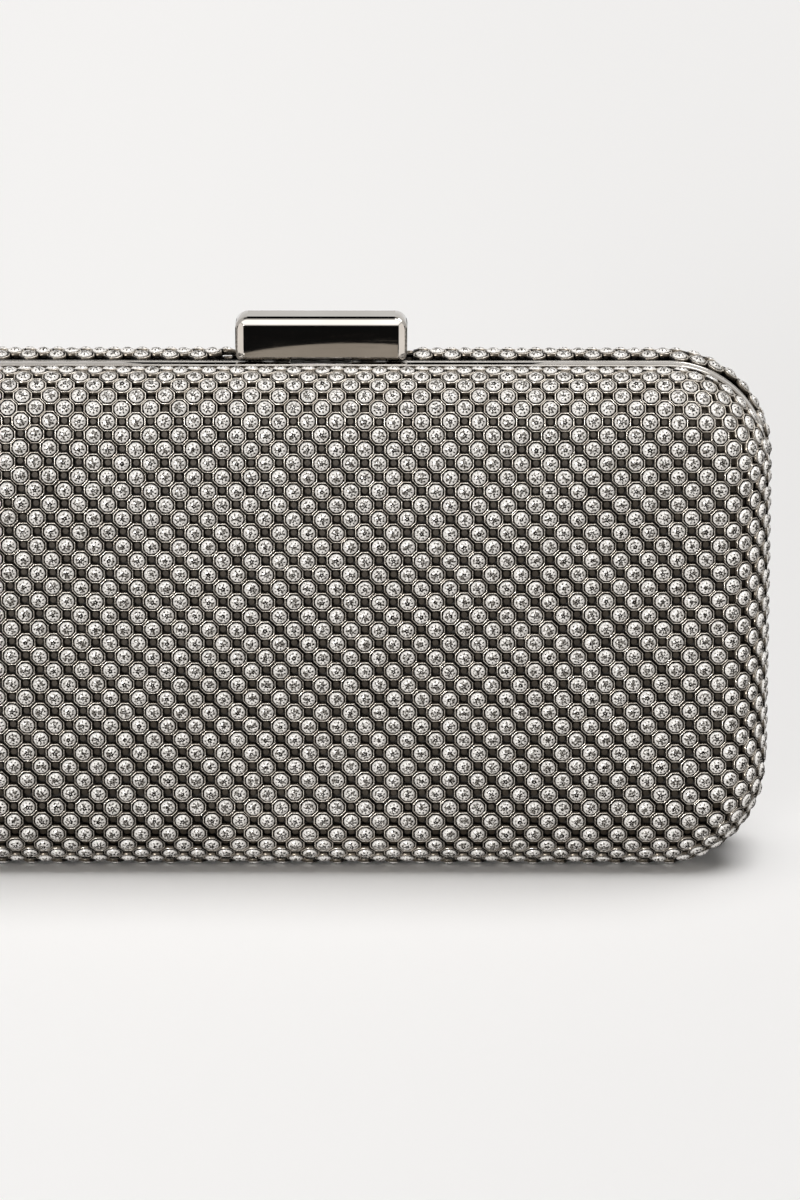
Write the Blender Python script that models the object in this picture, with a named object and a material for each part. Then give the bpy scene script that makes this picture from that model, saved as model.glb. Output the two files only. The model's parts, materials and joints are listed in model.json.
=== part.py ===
"""A hard box clutch bag that stands on its long edge: two shells skinned with crystal mesh, metal rims that meet
at a seam, hinges along the bottom and a bar clasp at the middle of the top. Metres, X along the bag, -Y to the
front, +Z up, origin on the ground under the middle."""

import math

import bmesh
import bpy
from mathutils import Vector

# Driving dimensions of the bag
BAG_LENGTH = 0.180
BAG_HEIGHT = 0.1034
CORNER_RADIUS = 0.0215
ROLL_DEPTH = 0.0125
ROLL_INSET = 0.0115
BOTTOM_ROLL_INSET = 0.0165
FACE_CROWN = 0.0020
FLAT_CUT = 0.0004
FRONT_STEP_IN = 0.0009

# Walls, from the stones inwards
MESH_THICKNESS = 0.0020
STUD_PITCH = 0.0074
STUD_RELIEF = 0.0013
SHELL_WALL = 0.0012
LINING_WALL = 0.0008

# Rims, each a channel that grips its shell's edge
RIM_WIDTH = 0.0030
RIM_RECESS = 0.0013
RIM_CHAMFER = 0.0005
RIM_WEB = 0.0008
RIM_LIP_WALL = 0.0008
RIM_LIP_REACH = 0.0040

# Clearances
SEAM_GAP = 0.0003
FIT = 0.0003
RUNNING_FIT = 0.0001
RIVET_FIT = 0.00015
CUT_OVERRUN = 0.0020

# Hinges
HINGE_SPREAD = 0.090
HINGE_WIDTH = 0.0140
HINGE_RISE = 0.0003
BARREL_RADIUS = 0.00095
HINGE_PIN_RADIUS = 0.00045
LEAF_WALL = 0.0007
KNUCKLE_WIDTH = 0.0056

# Rivets
RIVET_RADIUS = 0.0004
RIVET_HEAD_RADIUS = 0.0008
RIVET_HEAD_HEIGHT = 0.0004
LEAF_RIVET_SPREAD = 0.0090
LEAF_RIVET_SETBACK = 0.00085

# Clasp bar and what carries it
BAR_WIDTH = 0.0340
BAR_DEPTH = 0.0080
BAR_HEIGHT = 0.0088
BAR_OVERHANG = 0.0022
BAR_RAISE = 0.0004
BAR_WALL = 0.0010
BAR_BEVEL = 0.0012
NOTCH_CLEARANCE = 0.0005
CLASP_PIN_RADIUS = 0.0005
CLASP_PIN_SETBACK = 0.0025
CLASP_PIN_RISE = 0.0023
BRACKET_WIDTH = 0.0220
BRACKET_WALL = 0.0007
BRACKET_SETBACK = 0.0005
EAR_WALL = 0.0010
EYE_RADIUS = 0.00105
LEVER_WALL = 0.0008
CHEEK_REACH = 0.0029
CATCH_WIDTH = 0.0100
CATCH_WALL = 0.0005
BRACKET_RIVET_SPREAD = 0.0120
STRIKER_LENGTH = 0.0120
STRIKER_WIDTH = 0.0022
STRIKER_WALL = 0.0008
STRIKER_PROUD = 0.0001
STRIKER_SETBACK = 0.0005
STRIKER_RIVET_SPREAD = 0.0080

# Torsion spring round the clasp pin
SPRING_WIRE_RADIUS = 0.0002
SPRING_COIL_RADIUS = 0.00095
SPRING_PITCH = 0.0010
SPRING_TURNS = 6

# Counts and shares
LONG_RUN_STEPS = 6
END_RUN_STEPS = 3
CORNER_STEPS = 6
ROLL_ANGLES = (0.0, 12.5, 30.0, 48.0, 66.0, 84.0)
FACE_RING_SHARES = (0.72, 0.38)
STUD_RINGS_ON_FACE = 3
PLAIN_RINGS_AT_RIM = 2
PLAIN_RINGS_IN_CORNER = 2
INNER_HEAD_SHARE = 1.5
ROOT_OVERLAP_SHARE = 0.25
ROUND_SIDES = 16
SPRING_POINTS_PER_TURN = 10
BEVEL_SEGMENTS = 2

FRONT = -1
BACK = 1

# Places worked out from the sizes
OUTLINE_HALF_HEIGHT = (BAG_HEIGHT + FLAT_CUT) / 2
OUTLINE_CENTRE_Z = (BAG_HEIGHT - FLAT_CUT) / 2
ROLL_START = RIM_WIDTH + FIT
SEAM_HALF = SEAM_GAP / 2
WEB_INNER = SEAM_HALF + RIM_WEB
SHELL_EDGE = WEB_INNER + FIT
LINING_EDGE = RIM_LIP_REACH + FIT
RIM_TOP = BAG_HEIGHT - RIM_RECESS
RIM_BOTTOM = RIM_RECESS - FLAT_CUT
HINGE_Z = RIM_BOTTOM + HINGE_RISE
HINGE_PIVOT = Vector((0, 0, HINGE_Z))
CLASP_PIN_Y = BAR_DEPTH - BAR_OVERHANG - CLASP_PIN_SETBACK
CLASP_PIVOT = Vector((0, CLASP_PIN_Y, RIM_TOP + CLASP_PIN_RISE))
BAR_FRONT = -BAR_OVERHANG
BAR_BACK = BAR_DEPTH - BAR_OVERHANG
BAR_BOTTOM = RIM_TOP + BAR_RAISE
BAR_TOP = BAR_BOTTOM + BAR_HEIGHT
CORE_HALF_LENGTH = BAG_LENGTH / 2 - CORNER_RADIUS
CORE_HALF_HEIGHT = OUTLINE_HALF_HEIGHT - CORNER_RADIUS
STUD_COLUMNS = round(2 * CORE_HALF_LENGTH / (STUD_PITCH / 2))
STUD_ROWS = round(2 * CORE_HALF_HEIGHT / (STUD_PITCH / 2))


def down_share(normal_z):
    """How far a place on the outline faces the ground: 1 along the bottom, 0 at the ends and the top."""
    return max(0, -normal_z) ** 2


def roll_inset(normal_z):
    """How far the rounded edge turns in at a place on the outline: the bottom turns in more than the rest."""
    return ROLL_INSET + (BOTTOM_ROLL_INSET - ROLL_INSET) * down_share(normal_z)


def mesh_outside(side, normal_z):
    """Distance in from the outer outline to the stones: the front half is a little smaller, but not below."""
    if side == FRONT:
        return FRONT_STEP_IN * (1 - down_share(normal_z))
    return 0


def mesh_pit(side, normal_z):
    """Distance in from the outer outline to the bottom of the pits between the studs."""
    return mesh_outside(side, normal_z) + STUD_RELIEF


def mesh_inside(side, normal_z):
    return mesh_outside(side, normal_z) + MESH_THICKNESS


def shell_outside(side, normal_z):
    return mesh_inside(side, normal_z) + FIT


def shell_inside(side, normal_z):
    return shell_outside(side, normal_z) + SHELL_WALL


def lining_outside(side, normal_z):
    return shell_inside(side, normal_z) + FIT


def lining_inside(side, normal_z):
    return lining_outside(side, normal_z) + LINING_WALL


def rim_lip_inside(side, normal_z):
    return lining_outside(side, normal_z) + RIM_LIP_WALL


def outline_stations():
    """The outer outline as (x, z, normal x, normal z), anticlockwise from the front, with round corners."""
    run_x = CORE_HALF_LENGTH
    run_z = CORE_HALF_HEIGHT
    sides = (
        (run_x, -run_z, 0, LONG_RUN_STEPS),
        (run_x, run_z, 90, END_RUN_STEPS),
        (-run_x, run_z, 180, LONG_RUN_STEPS),
        (-run_x, -run_z, 270, END_RUN_STEPS),
    )
    stations = []
    for corner_x, corner_z, turned, run_steps in sides:
        start_angle = math.radians(turned - 90)
        normal = (math.cos(start_angle), math.sin(start_angle))
        along = (-normal[1], normal[0])
        run_length = 2 * (run_x if run_steps == LONG_RUN_STEPS else run_z)
        for step in range(run_steps):
            back = run_length * (1 - step / run_steps)
            x = corner_x + CORNER_RADIUS * normal[0] - back * along[0]
            z = corner_z + CORNER_RADIUS * normal[1] - back * along[1]
            stations.append((x, z, normal[0], normal[1]))
        for step in range(CORNER_STEPS):
            angle = start_angle + math.radians(90) * step / CORNER_STEPS
            x = corner_x + CORNER_RADIUS * math.cos(angle)
            z = corner_z + CORNER_RADIUS * math.sin(angle)
            stations.append((x, z, math.cos(angle), math.sin(angle)))
    return stations


def ring(side, offset, depth, turn_in=None):
    """One loop of points round the bag, in from the outline by offset, at a depth from the seam plane."""
    points = []
    for x, z, normal_x, normal_z in outline_stations():
        inset = offset(side, normal_z)
        if turn_in is not None:
            inset += (roll_inset(normal_z) - inset) * turn_in
        place_z = OUTLINE_CENTRE_Z + z - normal_z * inset
        points.append(Vector((x - normal_x * inset, side * depth, max(place_z, 0))))
    return points


def roll_reach(side, offset):
    """How deep a skin goes from where its rounded edge starts."""
    return ROLL_DEPTH - (offset(side, 1) - mesh_outside(side, 1))


def bowl_wall(side, offset, edge):
    """Loops of one skin of a half shell, from its edge at the seam over the rounded edge to the crowned face."""
    reach = roll_reach(side, offset)
    rings = []
    if edge < ROLL_START:
        rings.append(ring(side, offset, edge))
    for degrees in ROLL_ANGLES:
        angle = math.radians(degrees)
        depth = max(edge, ROLL_START + reach * math.sin(angle))
        rings.append(ring(side, offset, depth, 1 - math.cos(angle)))
    last = rings[-1]
    lowest = min(point.z for point in last)
    highest = max(point.z for point in last)
    centre = Vector((0, last[0].y, (lowest + highest) / 2))
    for share in FACE_RING_SHARES:
        crown = Vector((0, side * FACE_CROWN * (1 - share**2), 0))
        rings.append([centre + crown + (point - centre) * share for point in last])
    return rings, centre + Vector((0, side * FACE_CROWN, 0))


def material(name, colour, roughness, metallic):
    """A plain finish in linear colour."""
    made = bpy.data.materials.new(name)
    made.use_nodes = True
    shader = made.node_tree.nodes["Principled BSDF"]
    shader.inputs["Base Color"].default_value = (*colour, 1)
    shader.inputs["Roughness"].default_value = roughness
    shader.inputs["Metallic"].default_value = metallic
    return made


def crystal_mesh_finish():
    return material("crystal_mesh", (0.42, 0.40, 0.37), 0.25, 0.8)


def shell_finish():
    return material("shell_board", (0.05, 0.045, 0.04), 0.7, 0)


def gunmetal_finish():
    return material("polished_gunmetal", (0.30, 0.28, 0.26), 0.12, 1)


def satin_finish():
    return material("lining_satin", (0.10, 0.09, 0.085), 0.5, 0)


def steel_finish():
    return material("spring_steel", (0.45, 0.44, 0.43), 0.3, 1)


def pivot_empty(name, place):
    """The axis that a moving half turns about."""
    empty = bpy.data.objects.new(name, None)
    empty.location = place
    bpy.context.collection.objects.link(empty)
    return empty


def place_object(name, mesh_data, finish, pivot=None):
    """One piece of the bag, in its pivot's own coordinates if it moves."""
    made = bpy.data.objects.new(name, mesh_data)
    bpy.context.collection.objects.link(made)
    if finish is not None:
        mesh_data.materials.append(finish)
    if pivot is not None:
        made.parent = pivot
    return made


def piece(name, bm, finish, pivot=None, smooth_angle=None):
    """Closes a piece's mesh with its faces outwards and puts it in the scene."""
    bmesh.ops.recalc_face_normals(bm, faces=bm.faces)
    if pivot is not None:
        bmesh.ops.translate(bm, verts=bm.verts, vec=-Vector(pivot.location))
    mesh_data = bpy.data.meshes.new(name)
    bm.to_mesh(mesh_data)
    bm.free()
    if smooth_angle is not None:
        mesh_data.shade_smooth()
        mesh_data.set_sharp_from_angle(angle=smooth_angle)
    return place_object(name, mesh_data, finish, pivot)


def shape_with(target, tool_bm, operation):
    """Cuts a hidden tool from a piece, or joins it on. The tool is given in the bag's coordinates."""
    tool = piece(f"{target.name}_{operation.lower()}", tool_bm, None, target.parent)
    tool.hide_render = True
    tool.display_type = "WIRE"
    modifier = target.modifiers.new(operation.title(), "BOOLEAN")
    modifier.operation = operation
    modifier.object = tool
    modifier.solver = "EXACT"
    modifier.use_self = True
    return tool


def add_box(bm, low, high):
    corners = [
        bm.verts.new((x, y, z))
        for z in (low[2], high[2])
        for y in (low[1], high[1])
        for x in (low[0], high[0])
    ]
    for loop in ((0, 2, 3, 1), (4, 5, 7, 6), (0, 1, 5, 4), (2, 6, 7, 3), (0, 4, 6, 2), (1, 3, 7, 5)):
        bm.faces.new([corners[index] for index in loop])


def add_prism(bm, outline, low_x, high_x):
    """A closed outline in the YZ plane, drawn out along X."""
    near = [bm.verts.new((low_x, y, z)) for y, z in outline]
    far = [bm.verts.new((high_x, y, z)) for y, z in outline]
    bm.faces.new(near)
    bm.faces.new(list(reversed(far)))
    count = len(outline)
    for index in range(count):
        following = (index + 1) % count
        bm.faces.new((near[index], far[index], far[following], near[following]))


def add_rod(bm, start, end, radius):
    """A round bar between two points, along X or along Z."""
    direction = (Vector(end) - Vector(start)).normalized()
    side_way = Vector((0, 1, 0))
    other_way = direction.cross(side_way)
    loops = []
    for middle in (Vector(start), Vector(end)):
        points = []
        for step in range(ROUND_SIDES):
            angle = math.tau * step / ROUND_SIDES
            points.append(bm.verts.new(middle + radius * (math.cos(angle) * side_way + math.sin(angle) * other_way)))
        loops.append(points)
    bm.faces.new(loops[0])
    bm.faces.new(list(reversed(loops[1])))
    for step in range(ROUND_SIDES):
        following = (step + 1) % ROUND_SIDES
        bm.faces.new((loops[0][step], loops[1][step], loops[1][following], loops[0][following]))


def add_loops(bm, loops, closed_across=False):
    """Joins loops of points with quads, one loop to the next."""
    rows = [[bm.verts.new(point) for point in loop] for loop in loops]
    pairs = list(zip(rows, rows[1:]))
    if closed_across:
        pairs.append((rows[-1], rows[0]))
    for first, second in pairs:
        count = len(first)
        for index in range(count):
            following = (index + 1) % count
            bm.faces.new((first[index], first[following], second[following], second[index]))
    return rows


def add_fan(bm, row, tip):
    tip_vertex = bm.verts.new(tip)
    count = len(row)
    for index in range(count):
        bm.faces.new((row[index], row[(index + 1) % count], tip_vertex))


def half_bowl(name, side, outside, inside, edge, finish, pivot):
    """A half box with one even wall, open at the seam."""
    outer_rings, outer_tip = bowl_wall(side, outside, edge)
    inner_rings, inner_tip = bowl_wall(side, inside, edge)
    inner_tip.y = outer_tip.y - side * (inside(side, 1) - outside(side, 1))
    bm = bmesh.new()
    rows = add_loops(bm, list(reversed(inner_rings)) + outer_rings)
    add_fan(bm, rows[0], inner_tip)
    add_fan(bm, rows[-1], outer_tip)
    return piece(name, bm, finish, pivot, math.radians(40))


def face_outline(side):
    """The edge of the crowned face as (x, z) points about its middle, and the height of that middle."""
    turn_in = 1 - math.cos(math.radians(ROLL_ANGLES[-1]))
    loop = ring(side, mesh_outside, ROLL_START, turn_in)
    middle = (min(point.z for point in loop) + max(point.z for point in loop)) / 2
    return [(point.x, point.z - middle) for point in loop], middle


def face_share(outline, x, z):
    """How far out a place on the face is: 0 in the middle and 1 at the face's edge."""
    share = 0
    for start, end in zip(outline, outline[1:] + outline[:1]):
        way_x, way_z = end[1] - start[1], start[0] - end[0]
        share = max(share, (way_x * x + way_z * z) / (way_x * start[0] + way_z * start[1]))
    return share


def stud_stations():
    """Where the loops of studs leave the flat core, as (column, row, normal x, normal z, steps round a corner)."""
    sides = (
        ([(column, 0) for column in range(STUD_COLUMNS + 1)], -90),
        ([(STUD_COLUMNS, row) for row in range(STUD_ROWS + 1)], 0),
        ([(column, STUD_ROWS) for column in range(STUD_COLUMNS, -1, -1)], 90),
        ([(0, row) for row in range(STUD_ROWS, -1, -1)], 180),
    )
    stations = []
    for places, facing in sides:
        angle = math.radians(facing)
        for column, row in places:
            stations.append((column, row, math.cos(angle), math.sin(angle), 0))
        for step in range(1, CORNER_STEPS):
            angle = math.radians(facing + 90 * step / CORNER_STEPS)
            stations.append((*places[-1], math.cos(angle), math.sin(angle), step))
    return stations


def core_place(column, row):
    """A lattice place of the flat core, as x and the height above the middle of the outline."""
    x = CORE_HALF_LENGTH * (2 * column / STUD_COLUMNS - 1)
    return x, CORE_HALF_HEIGHT * (2 * row / STUD_ROWS - 1)


def is_pit(column, row, step, number):
    """Every other lattice place is a pit, but not along the rim nor where a corner's loops are still narrow."""
    last = STUD_RINGS_ON_FACE + len(ROLL_ANGLES) - 1
    if number > last - PLAIN_RINGS_AT_RIM or (step > 0 and number <= PLAIN_RINGS_IN_CORNER):
        return False
    return (column + row + step + number) % 2 == 1


def stud_ring(side, stations, number, outline, middle):
    """One loop of peaks and pits round the core: the first few on the face, the others round the rounded edge."""
    angles = list(reversed(ROLL_ANGLES))[1:]
    points = []
    for column, row, normal_x, normal_z, step in stations:
        x, z = core_place(column, row)
        offset = mesh_pit if is_pit(column, row, step, number) else mesh_outside
        inset = offset(side, normal_z)
        on_face = number <= STUD_RINGS_ON_FACE
        angle = math.radians(ROLL_ANGLES[-1] if on_face else angles[number - STUD_RINGS_ON_FACE - 1])
        inset += (roll_inset(normal_z) - inset) * (1 - math.cos(angle))
        out = CORNER_RADIUS - inset
        depth = ROLL_START + roll_reach(side, offset) * math.sin(angle)
        if on_face:
            out *= number / STUD_RINGS_ON_FACE
        x += normal_x * out
        z += OUTLINE_CENTRE_Z + normal_z * out
        if on_face:
            depth += FACE_CROWN * (1 - min(1, face_share(outline, x, z - middle)) ** 2)
        points.append(Vector((x, side * depth, max(z, 0))))
    return points


def core_point(side, column, row, outline, middle):
    """One peak or pit of the lattice on the flat core of the face."""
    x, z = core_place(column, row)
    z += OUTLINE_CENTRE_Z
    offset = mesh_pit if (column + row) % 2 == 1 else mesh_outside
    depth = ROLL_START + roll_reach(side, offset) * math.sin(math.radians(ROLL_ANGLES[-1]))
    depth += FACE_CROWN * (1 - face_share(outline, x, z - middle) ** 2)
    return Vector((x, side * depth, z))


def add_folded_quad(bm, corners, first_is_pit):
    """Two triangles that meet along the valley between two pits, so that each stud is a low pyramid."""
    a, b, c, d = corners
    if first_is_pit:
        pairs = ((a, b, c), (a, c, d))
    else:
        pairs = ((a, b, d), (b, c, d))
    for loop in pairs:
        if len(set(loop)) == 3:
            bm.faces.new(loop)


def add_studded_skin(bm, side):
    """The outer skin of a half's crystal mesh: the main studs in a square lattice set cornerwise."""
    outline, middle = face_outline(side)
    core = {}
    for column in range(STUD_COLUMNS + 1):
        for row in range(STUD_ROWS + 1):
            core[column, row] = bm.verts.new(core_point(side, column, row, outline, middle))
    for column in range(STUD_COLUMNS):
        for row in range(STUD_ROWS):
            loop = [core[column, row], core[column + 1, row], core[column + 1, row + 1], core[column, row + 1]]
            add_folded_quad(bm, loop, (column + row) % 2 == 1)
    stations = stud_stations()
    inner = [core[column, row] for column, row, _, _, _ in stations]
    for number in range(1, STUD_RINGS_ON_FACE + len(ROLL_ANGLES)):
        outer = [bm.verts.new(point) for point in stud_ring(side, stations, number, outline, middle)]
        for index, (column, row, _, _, step) in enumerate(stations):
            following = (index + 1) % len(stations)
            loop = [inner[index], outer[index], outer[following], inner[following]]
            add_folded_quad(bm, loop, (column + row + step + number - 1) % 2 == 1)
        inner = outer
    return inner


def studded_bowl(name, side, finish, pivot):
    """A half's crystal mesh: studded outside, plain inside where it is glued down, with a flat edge at the rim."""
    bm = bmesh.new()
    edge_outside = add_studded_skin(bm, side)
    inner_rings, inner_tip = bowl_wall(side, mesh_inside, ROLL_START)
    rows = add_loops(bm, inner_rings)
    add_fan(bm, rows[-1], inner_tip)
    edges = []
    for loop in (edge_outside, rows[0]):
        for start, end in zip(loop, loop[1:] + loop[:1]):
            edges.append(bm.edges.get((start, end)))
    bmesh.ops.triangle_fill(bm, edges=edges, use_beauty=True, normal=(0, -side, 0))
    return piece(name, bm, finish, pivot)


def rim(name, side, finish, pivot):
    """The channel round a half's mouth: web at the seam, outer lip over the shell's edge, inner lip inside it."""

    def rim_outside(side_now, normal_z):
        return RIM_RECESS

    def chamfer_inside(side_now, normal_z):
        return RIM_RECESS + RIM_CHAMFER

    section = (
        (rim_outside, SEAM_HALF + RIM_CHAMFER),
        (rim_outside, RIM_WIDTH),
        (mesh_inside, RIM_WIDTH),
        (mesh_inside, WEB_INNER),
        (lining_outside, WEB_INNER),
        (lining_outside, RIM_LIP_REACH),
        (rim_lip_inside, RIM_LIP_REACH),
        (rim_lip_inside, SEAM_HALF),
        (chamfer_inside, SEAM_HALF),
    )
    bm = bmesh.new()
    add_loops(bm, [ring(side, offset, depth) for offset, depth in section], closed_across=True)
    return piece(name, bm, finish, pivot, math.radians(40))


def hinge_places():
    return {"left": -HINGE_SPREAD / 2, "right": HINGE_SPREAD / 2}


def leaf_rivet_places(side):
    """Where the hinge rivets of one half go through, as (name, x, y)."""
    places = []
    for hinge_name, middle in hinge_places().items():
        for number, way in enumerate((-1, 1), start=1):
            x = middle + way * LEAF_RIVET_SPREAD / 2
            places.append((f"{hinge_name}_{number}", x, side * (RIM_WIDTH - LEAF_RIVET_SETBACK)))
    return places


def top_rivet_places(side):
    """Where the rivets of the clasp bracket or the striker go through, as (name, x, y)."""
    if side == BACK:
        spread = BRACKET_RIVET_SPREAD
        y = (BRACKET_SETBACK + RIM_WIDTH) / 2
    else:
        spread = STRIKER_RIVET_SPREAD
        y = -STRIKER_SETBACK - STRIKER_WIDTH / 2
    return [("1", -spread / 2, y), ("2", spread / 2, y)]


def add_rivet_holes(bm, side):
    """Holes for all the rivets of one half, through the rim, the shell and the rim's inner lip."""
    hole = RIVET_RADIUS + RIVET_FIT
    bottom_end = RIM_BOTTOM + rim_lip_inside(side, -1) + CUT_OVERRUN
    top_end = BAG_HEIGHT - rim_lip_inside(side, 1) - CUT_OVERRUN
    for _, x, y in leaf_rivet_places(side):
        add_rod(bm, (x, y, -CUT_OVERRUN), (x, y, bottom_end), hole)
    for _, x, y in top_rivet_places(side):
        add_rod(bm, (x, y, top_end), (x, y, BAR_TOP), hole)


def cut_rim(target, side):
    """Hinge notches, the striker's pocket and the rivet holes."""
    bm = bmesh.new()
    near = min(0, side * (RIM_WIDTH + CUT_OVERRUN))
    far = max(0, side * (RIM_WIDTH + CUT_OVERRUN))
    half = HINGE_WIDTH / 2 + FIT
    lip_top = RIM_BOTTOM + LEAF_WALL + FIT
    for middle in hinge_places().values():
        add_box(bm, (middle - half, near, -CUT_OVERRUN), (middle + half, far, lip_top))
    add_rivet_holes(bm, side)
    shape_with(target, bm, "DIFFERENCE")
    bm = bmesh.new()
    reach = BARREL_RADIUS + FIT
    for middle in hinge_places().values():
        add_box(bm, (middle - half, -reach, -CUT_OVERRUN), (middle + half, reach, HINGE_Z + reach))
    if side == FRONT:
        half_pocket = STRIKER_LENGTH / 2 + FIT
        low_y = -STRIKER_SETBACK - STRIKER_WIDTH - FIT
        floor = RIM_TOP + STRIKER_PROUD - STRIKER_WALL - FIT
        add_box(bm, (-half_pocket, low_y, floor), (half_pocket, CUT_OVERRUN, BAR_TOP))
    shape_with(target, bm, "DIFFERENCE").name = f"{target.name}_second_difference"


def cut_shell(target, side):
    bm = bmesh.new()
    add_rivet_holes(bm, side)
    shape_with(target, bm, "DIFFERENCE")


def cut_mesh_for_bar(target):
    """The back mesh stops short of the clasp bar, which reaches down to the rim."""
    bm = bmesh.new()
    half = BAR_WIDTH / 2 + NOTCH_CLEARANCE
    floor = BAG_HEIGHT - MESH_THICKNESS - CUT_OVERRUN
    add_box(bm, (-half, 0, floor), (half, BAR_BACK + NOTCH_CLEARANCE, BAR_TOP))
    shape_with(target, bm, "DIFFERENCE")


def hinge_leaf(name, side, middle, finish, pivot):
    """A plate in the place of the rim's outer lip, with one middle knuckle in front or two outer ones behind."""
    half = HINGE_WIDTH / 2
    half_knuckle = KNUCKLE_WIDTH / 2
    plate_near = BARREL_RADIUS + FIT
    if side == FRONT:
        spans = [(-half_knuckle, half_knuckle)]
    else:
        spans = [(-half, -half_knuckle - FIT), (half_knuckle + FIT, half)]
    plate_top = RIM_BOTTOM + LEAF_WALL
    bm = bmesh.new()
    ends = sorted((side * plate_near, side * RIM_WIDTH))
    add_box(bm, (middle - half, ends[0], RIM_BOTTOM), (middle + half, ends[1], plate_top))
    leaf = piece(name, bm, finish, pivot)
    bm = bmesh.new()
    neck_near = BARREL_RADIUS - LEAF_WALL / 2
    neck_far = (plate_near + RIM_WIDTH) / 2
    inset = FIT / 2
    ends = sorted((side * neck_near, side * neck_far))
    for low, high in spans:
        add_box(bm, (middle + low, ends[0], RIM_BOTTOM + inset), (middle + high, ends[1], plate_top - inset))
    shape_with(leaf, bm, "UNION")
    bm = bmesh.new()
    for low, high in spans:
        add_rod(bm, (middle + low, 0, HINGE_Z), (middle + high, 0, HINGE_Z), BARREL_RADIUS)
    shape_with(leaf, bm, "UNION").name = f"{name}_barrels"
    bm = bmesh.new()
    bore = HINGE_PIN_RADIUS + RUNNING_FIT
    start = (middle - half - CUT_OVERRUN, 0, HINGE_Z)
    add_rod(bm, start, (middle + half + CUT_OVERRUN, 0, HINGE_Z), bore)
    for _, x, y in leaf_rivet_places(side):
        if abs(x - middle) < half:
            add_rod(bm, (x, y, -CUT_OVERRUN), (x, y, plate_top + CUT_OVERRUN), RIVET_RADIUS + RIVET_FIT)
    shape_with(leaf, bm, "DIFFERENCE")
    return leaf


def hinge_pin(name, middle, finish):
    bm = bmesh.new()
    half = HINGE_WIDTH / 2
    add_rod(bm, (middle - half, 0, HINGE_Z), (middle + half, 0, HINGE_Z), HINGE_PIN_RADIUS)
    return piece(name, bm, finish, None, math.radians(40))


def rivet(name, place, outer_z, inner_z, head_outside, finish, pivot):
    """A shank along Z with a head on the inner lip, and one outside where the plate under it isn't flush."""
    x, y = place
    way = 1 if inner_z > outer_z else -1
    bm = bmesh.new()
    inner_end = inner_z + way * RIVET_HEAD_HEIGHT
    shank_start = outer_z - (way * RIVET_HEAD_HEIGHT / 2 if head_outside else 0)
    add_rod(bm, (x, y, min(shank_start, inner_end)), (x, y, max(shank_start, inner_end)), RIVET_RADIUS)
    made = piece(name, bm, finish, pivot, math.radians(40))
    bm = bmesh.new()
    heads = [(inner_z, inner_z + way * RIVET_HEAD_HEIGHT * INNER_HEAD_SHARE)]
    if head_outside:
        heads.append((outer_z - way * RIVET_HEAD_HEIGHT, outer_z))
    for start, end in heads:
        add_rod(bm, (x, y, min(start, end)), (x, y, max(start, end)), RIVET_HEAD_RADIUS)
    shape_with(made, bm, "UNION")
    return made


def hull_prism(bm, outline, circle_middle, circle_radius, low_x, high_x):
    """A flat ear: the points of its root and a round eye, wrapped tight, drawn out along X."""
    flat = list(outline)
    for step in range(ROUND_SIDES):
        angle = math.tau * step / ROUND_SIDES
        y = circle_middle[0] + circle_radius * math.cos(angle)
        flat.append((y, circle_middle[1] + circle_radius * math.sin(angle)))
    points = sorted(set(flat))

    def half_hull(ordered):
        hull = []
        for point in ordered:
            while len(hull) > 1:
                a, b = hull[-2], hull[-1]
                turn = (b[0] - a[0]) * (point[1] - a[1]) - (b[1] - a[1]) * (point[0] - a[0])
                if turn > 0:
                    break
                hull.pop()
            hull.append(point)
        return hull[:-1]

    add_prism(bm, half_hull(points) + half_hull(list(reversed(points))), low_x, high_x)


def clasp_bar(finish, pivot):
    """The polished bar: a hollow cover, open below, with bevelled edges."""
    bm = bmesh.new()
    half = BAR_WIDTH / 2
    add_box(bm, (-half, BAR_FRONT, BAR_BOTTOM), (half, BAR_BACK, BAR_TOP))
    edges = []
    for edge in bm.edges:
        if max(vertex.co.z for vertex in edge.verts) > BAR_BOTTOM + BAR_BEVEL:
            edges.append(edge)
    bmesh.ops.bevel(bm, geom=edges, offset=BAR_BEVEL, segments=BEVEL_SEGMENTS, profile=0.5, affect="EDGES")
    bar = piece("clasp_bar", bm, finish, pivot, math.radians(30))
    bm = bmesh.new()
    low = (-half + BAR_WALL, BAR_FRONT + BAR_WALL, BAR_BOTTOM - CUT_OVERRUN)
    add_box(bm, low, (half - BAR_WALL, BAR_BACK - BAR_WALL, BAR_TOP - BAR_WALL))
    shape_with(bar, bm, "DIFFERENCE")
    return bar


def clasp_bracket(finish):
    """A base plate on the back rim with two ears that carry the clasp pin."""
    base_low = RIM_TOP + FIT
    base_high = base_low + BRACKET_WALL
    half = BRACKET_WIDTH / 2
    bm = bmesh.new()
    add_box(bm, (-half, BRACKET_SETBACK, base_low), (half, RIM_WIDTH, base_high))
    bracket = piece("clasp_bracket", bm, finish)
    bm = bmesh.new()
    eye = (CLASP_PIVOT.y, CLASP_PIVOT.z)
    inset = BRACKET_WALL * ROOT_OVERLAP_SHARE
    root = [
        (BRACKET_SETBACK + inset, base_low + inset),
        (RIM_WIDTH - inset, base_low + inset),
    ]
    for way in (-1, 1):
        ends = sorted((way * (half - inset), way * (half - inset - EAR_WALL)))
        hull_prism(bm, root, eye, EYE_RADIUS, ends[0], ends[1])
    shape_with(bracket, bm, "UNION")
    bm = bmesh.new()
    reach = half + CUT_OVERRUN
    add_rod(bm, (-reach, *eye), (reach, *eye), CLASP_PIN_RADIUS + RUNNING_FIT)
    for _, x, y in top_rivet_places(BACK):
        add_rod(bm, (x, y, base_low - CUT_OVERRUN), (x, y, base_high + CUT_OVERRUN), RIVET_RADIUS + RIVET_FIT)
    shape_with(bracket, bm, "DIFFERENCE")
    return bracket


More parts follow.
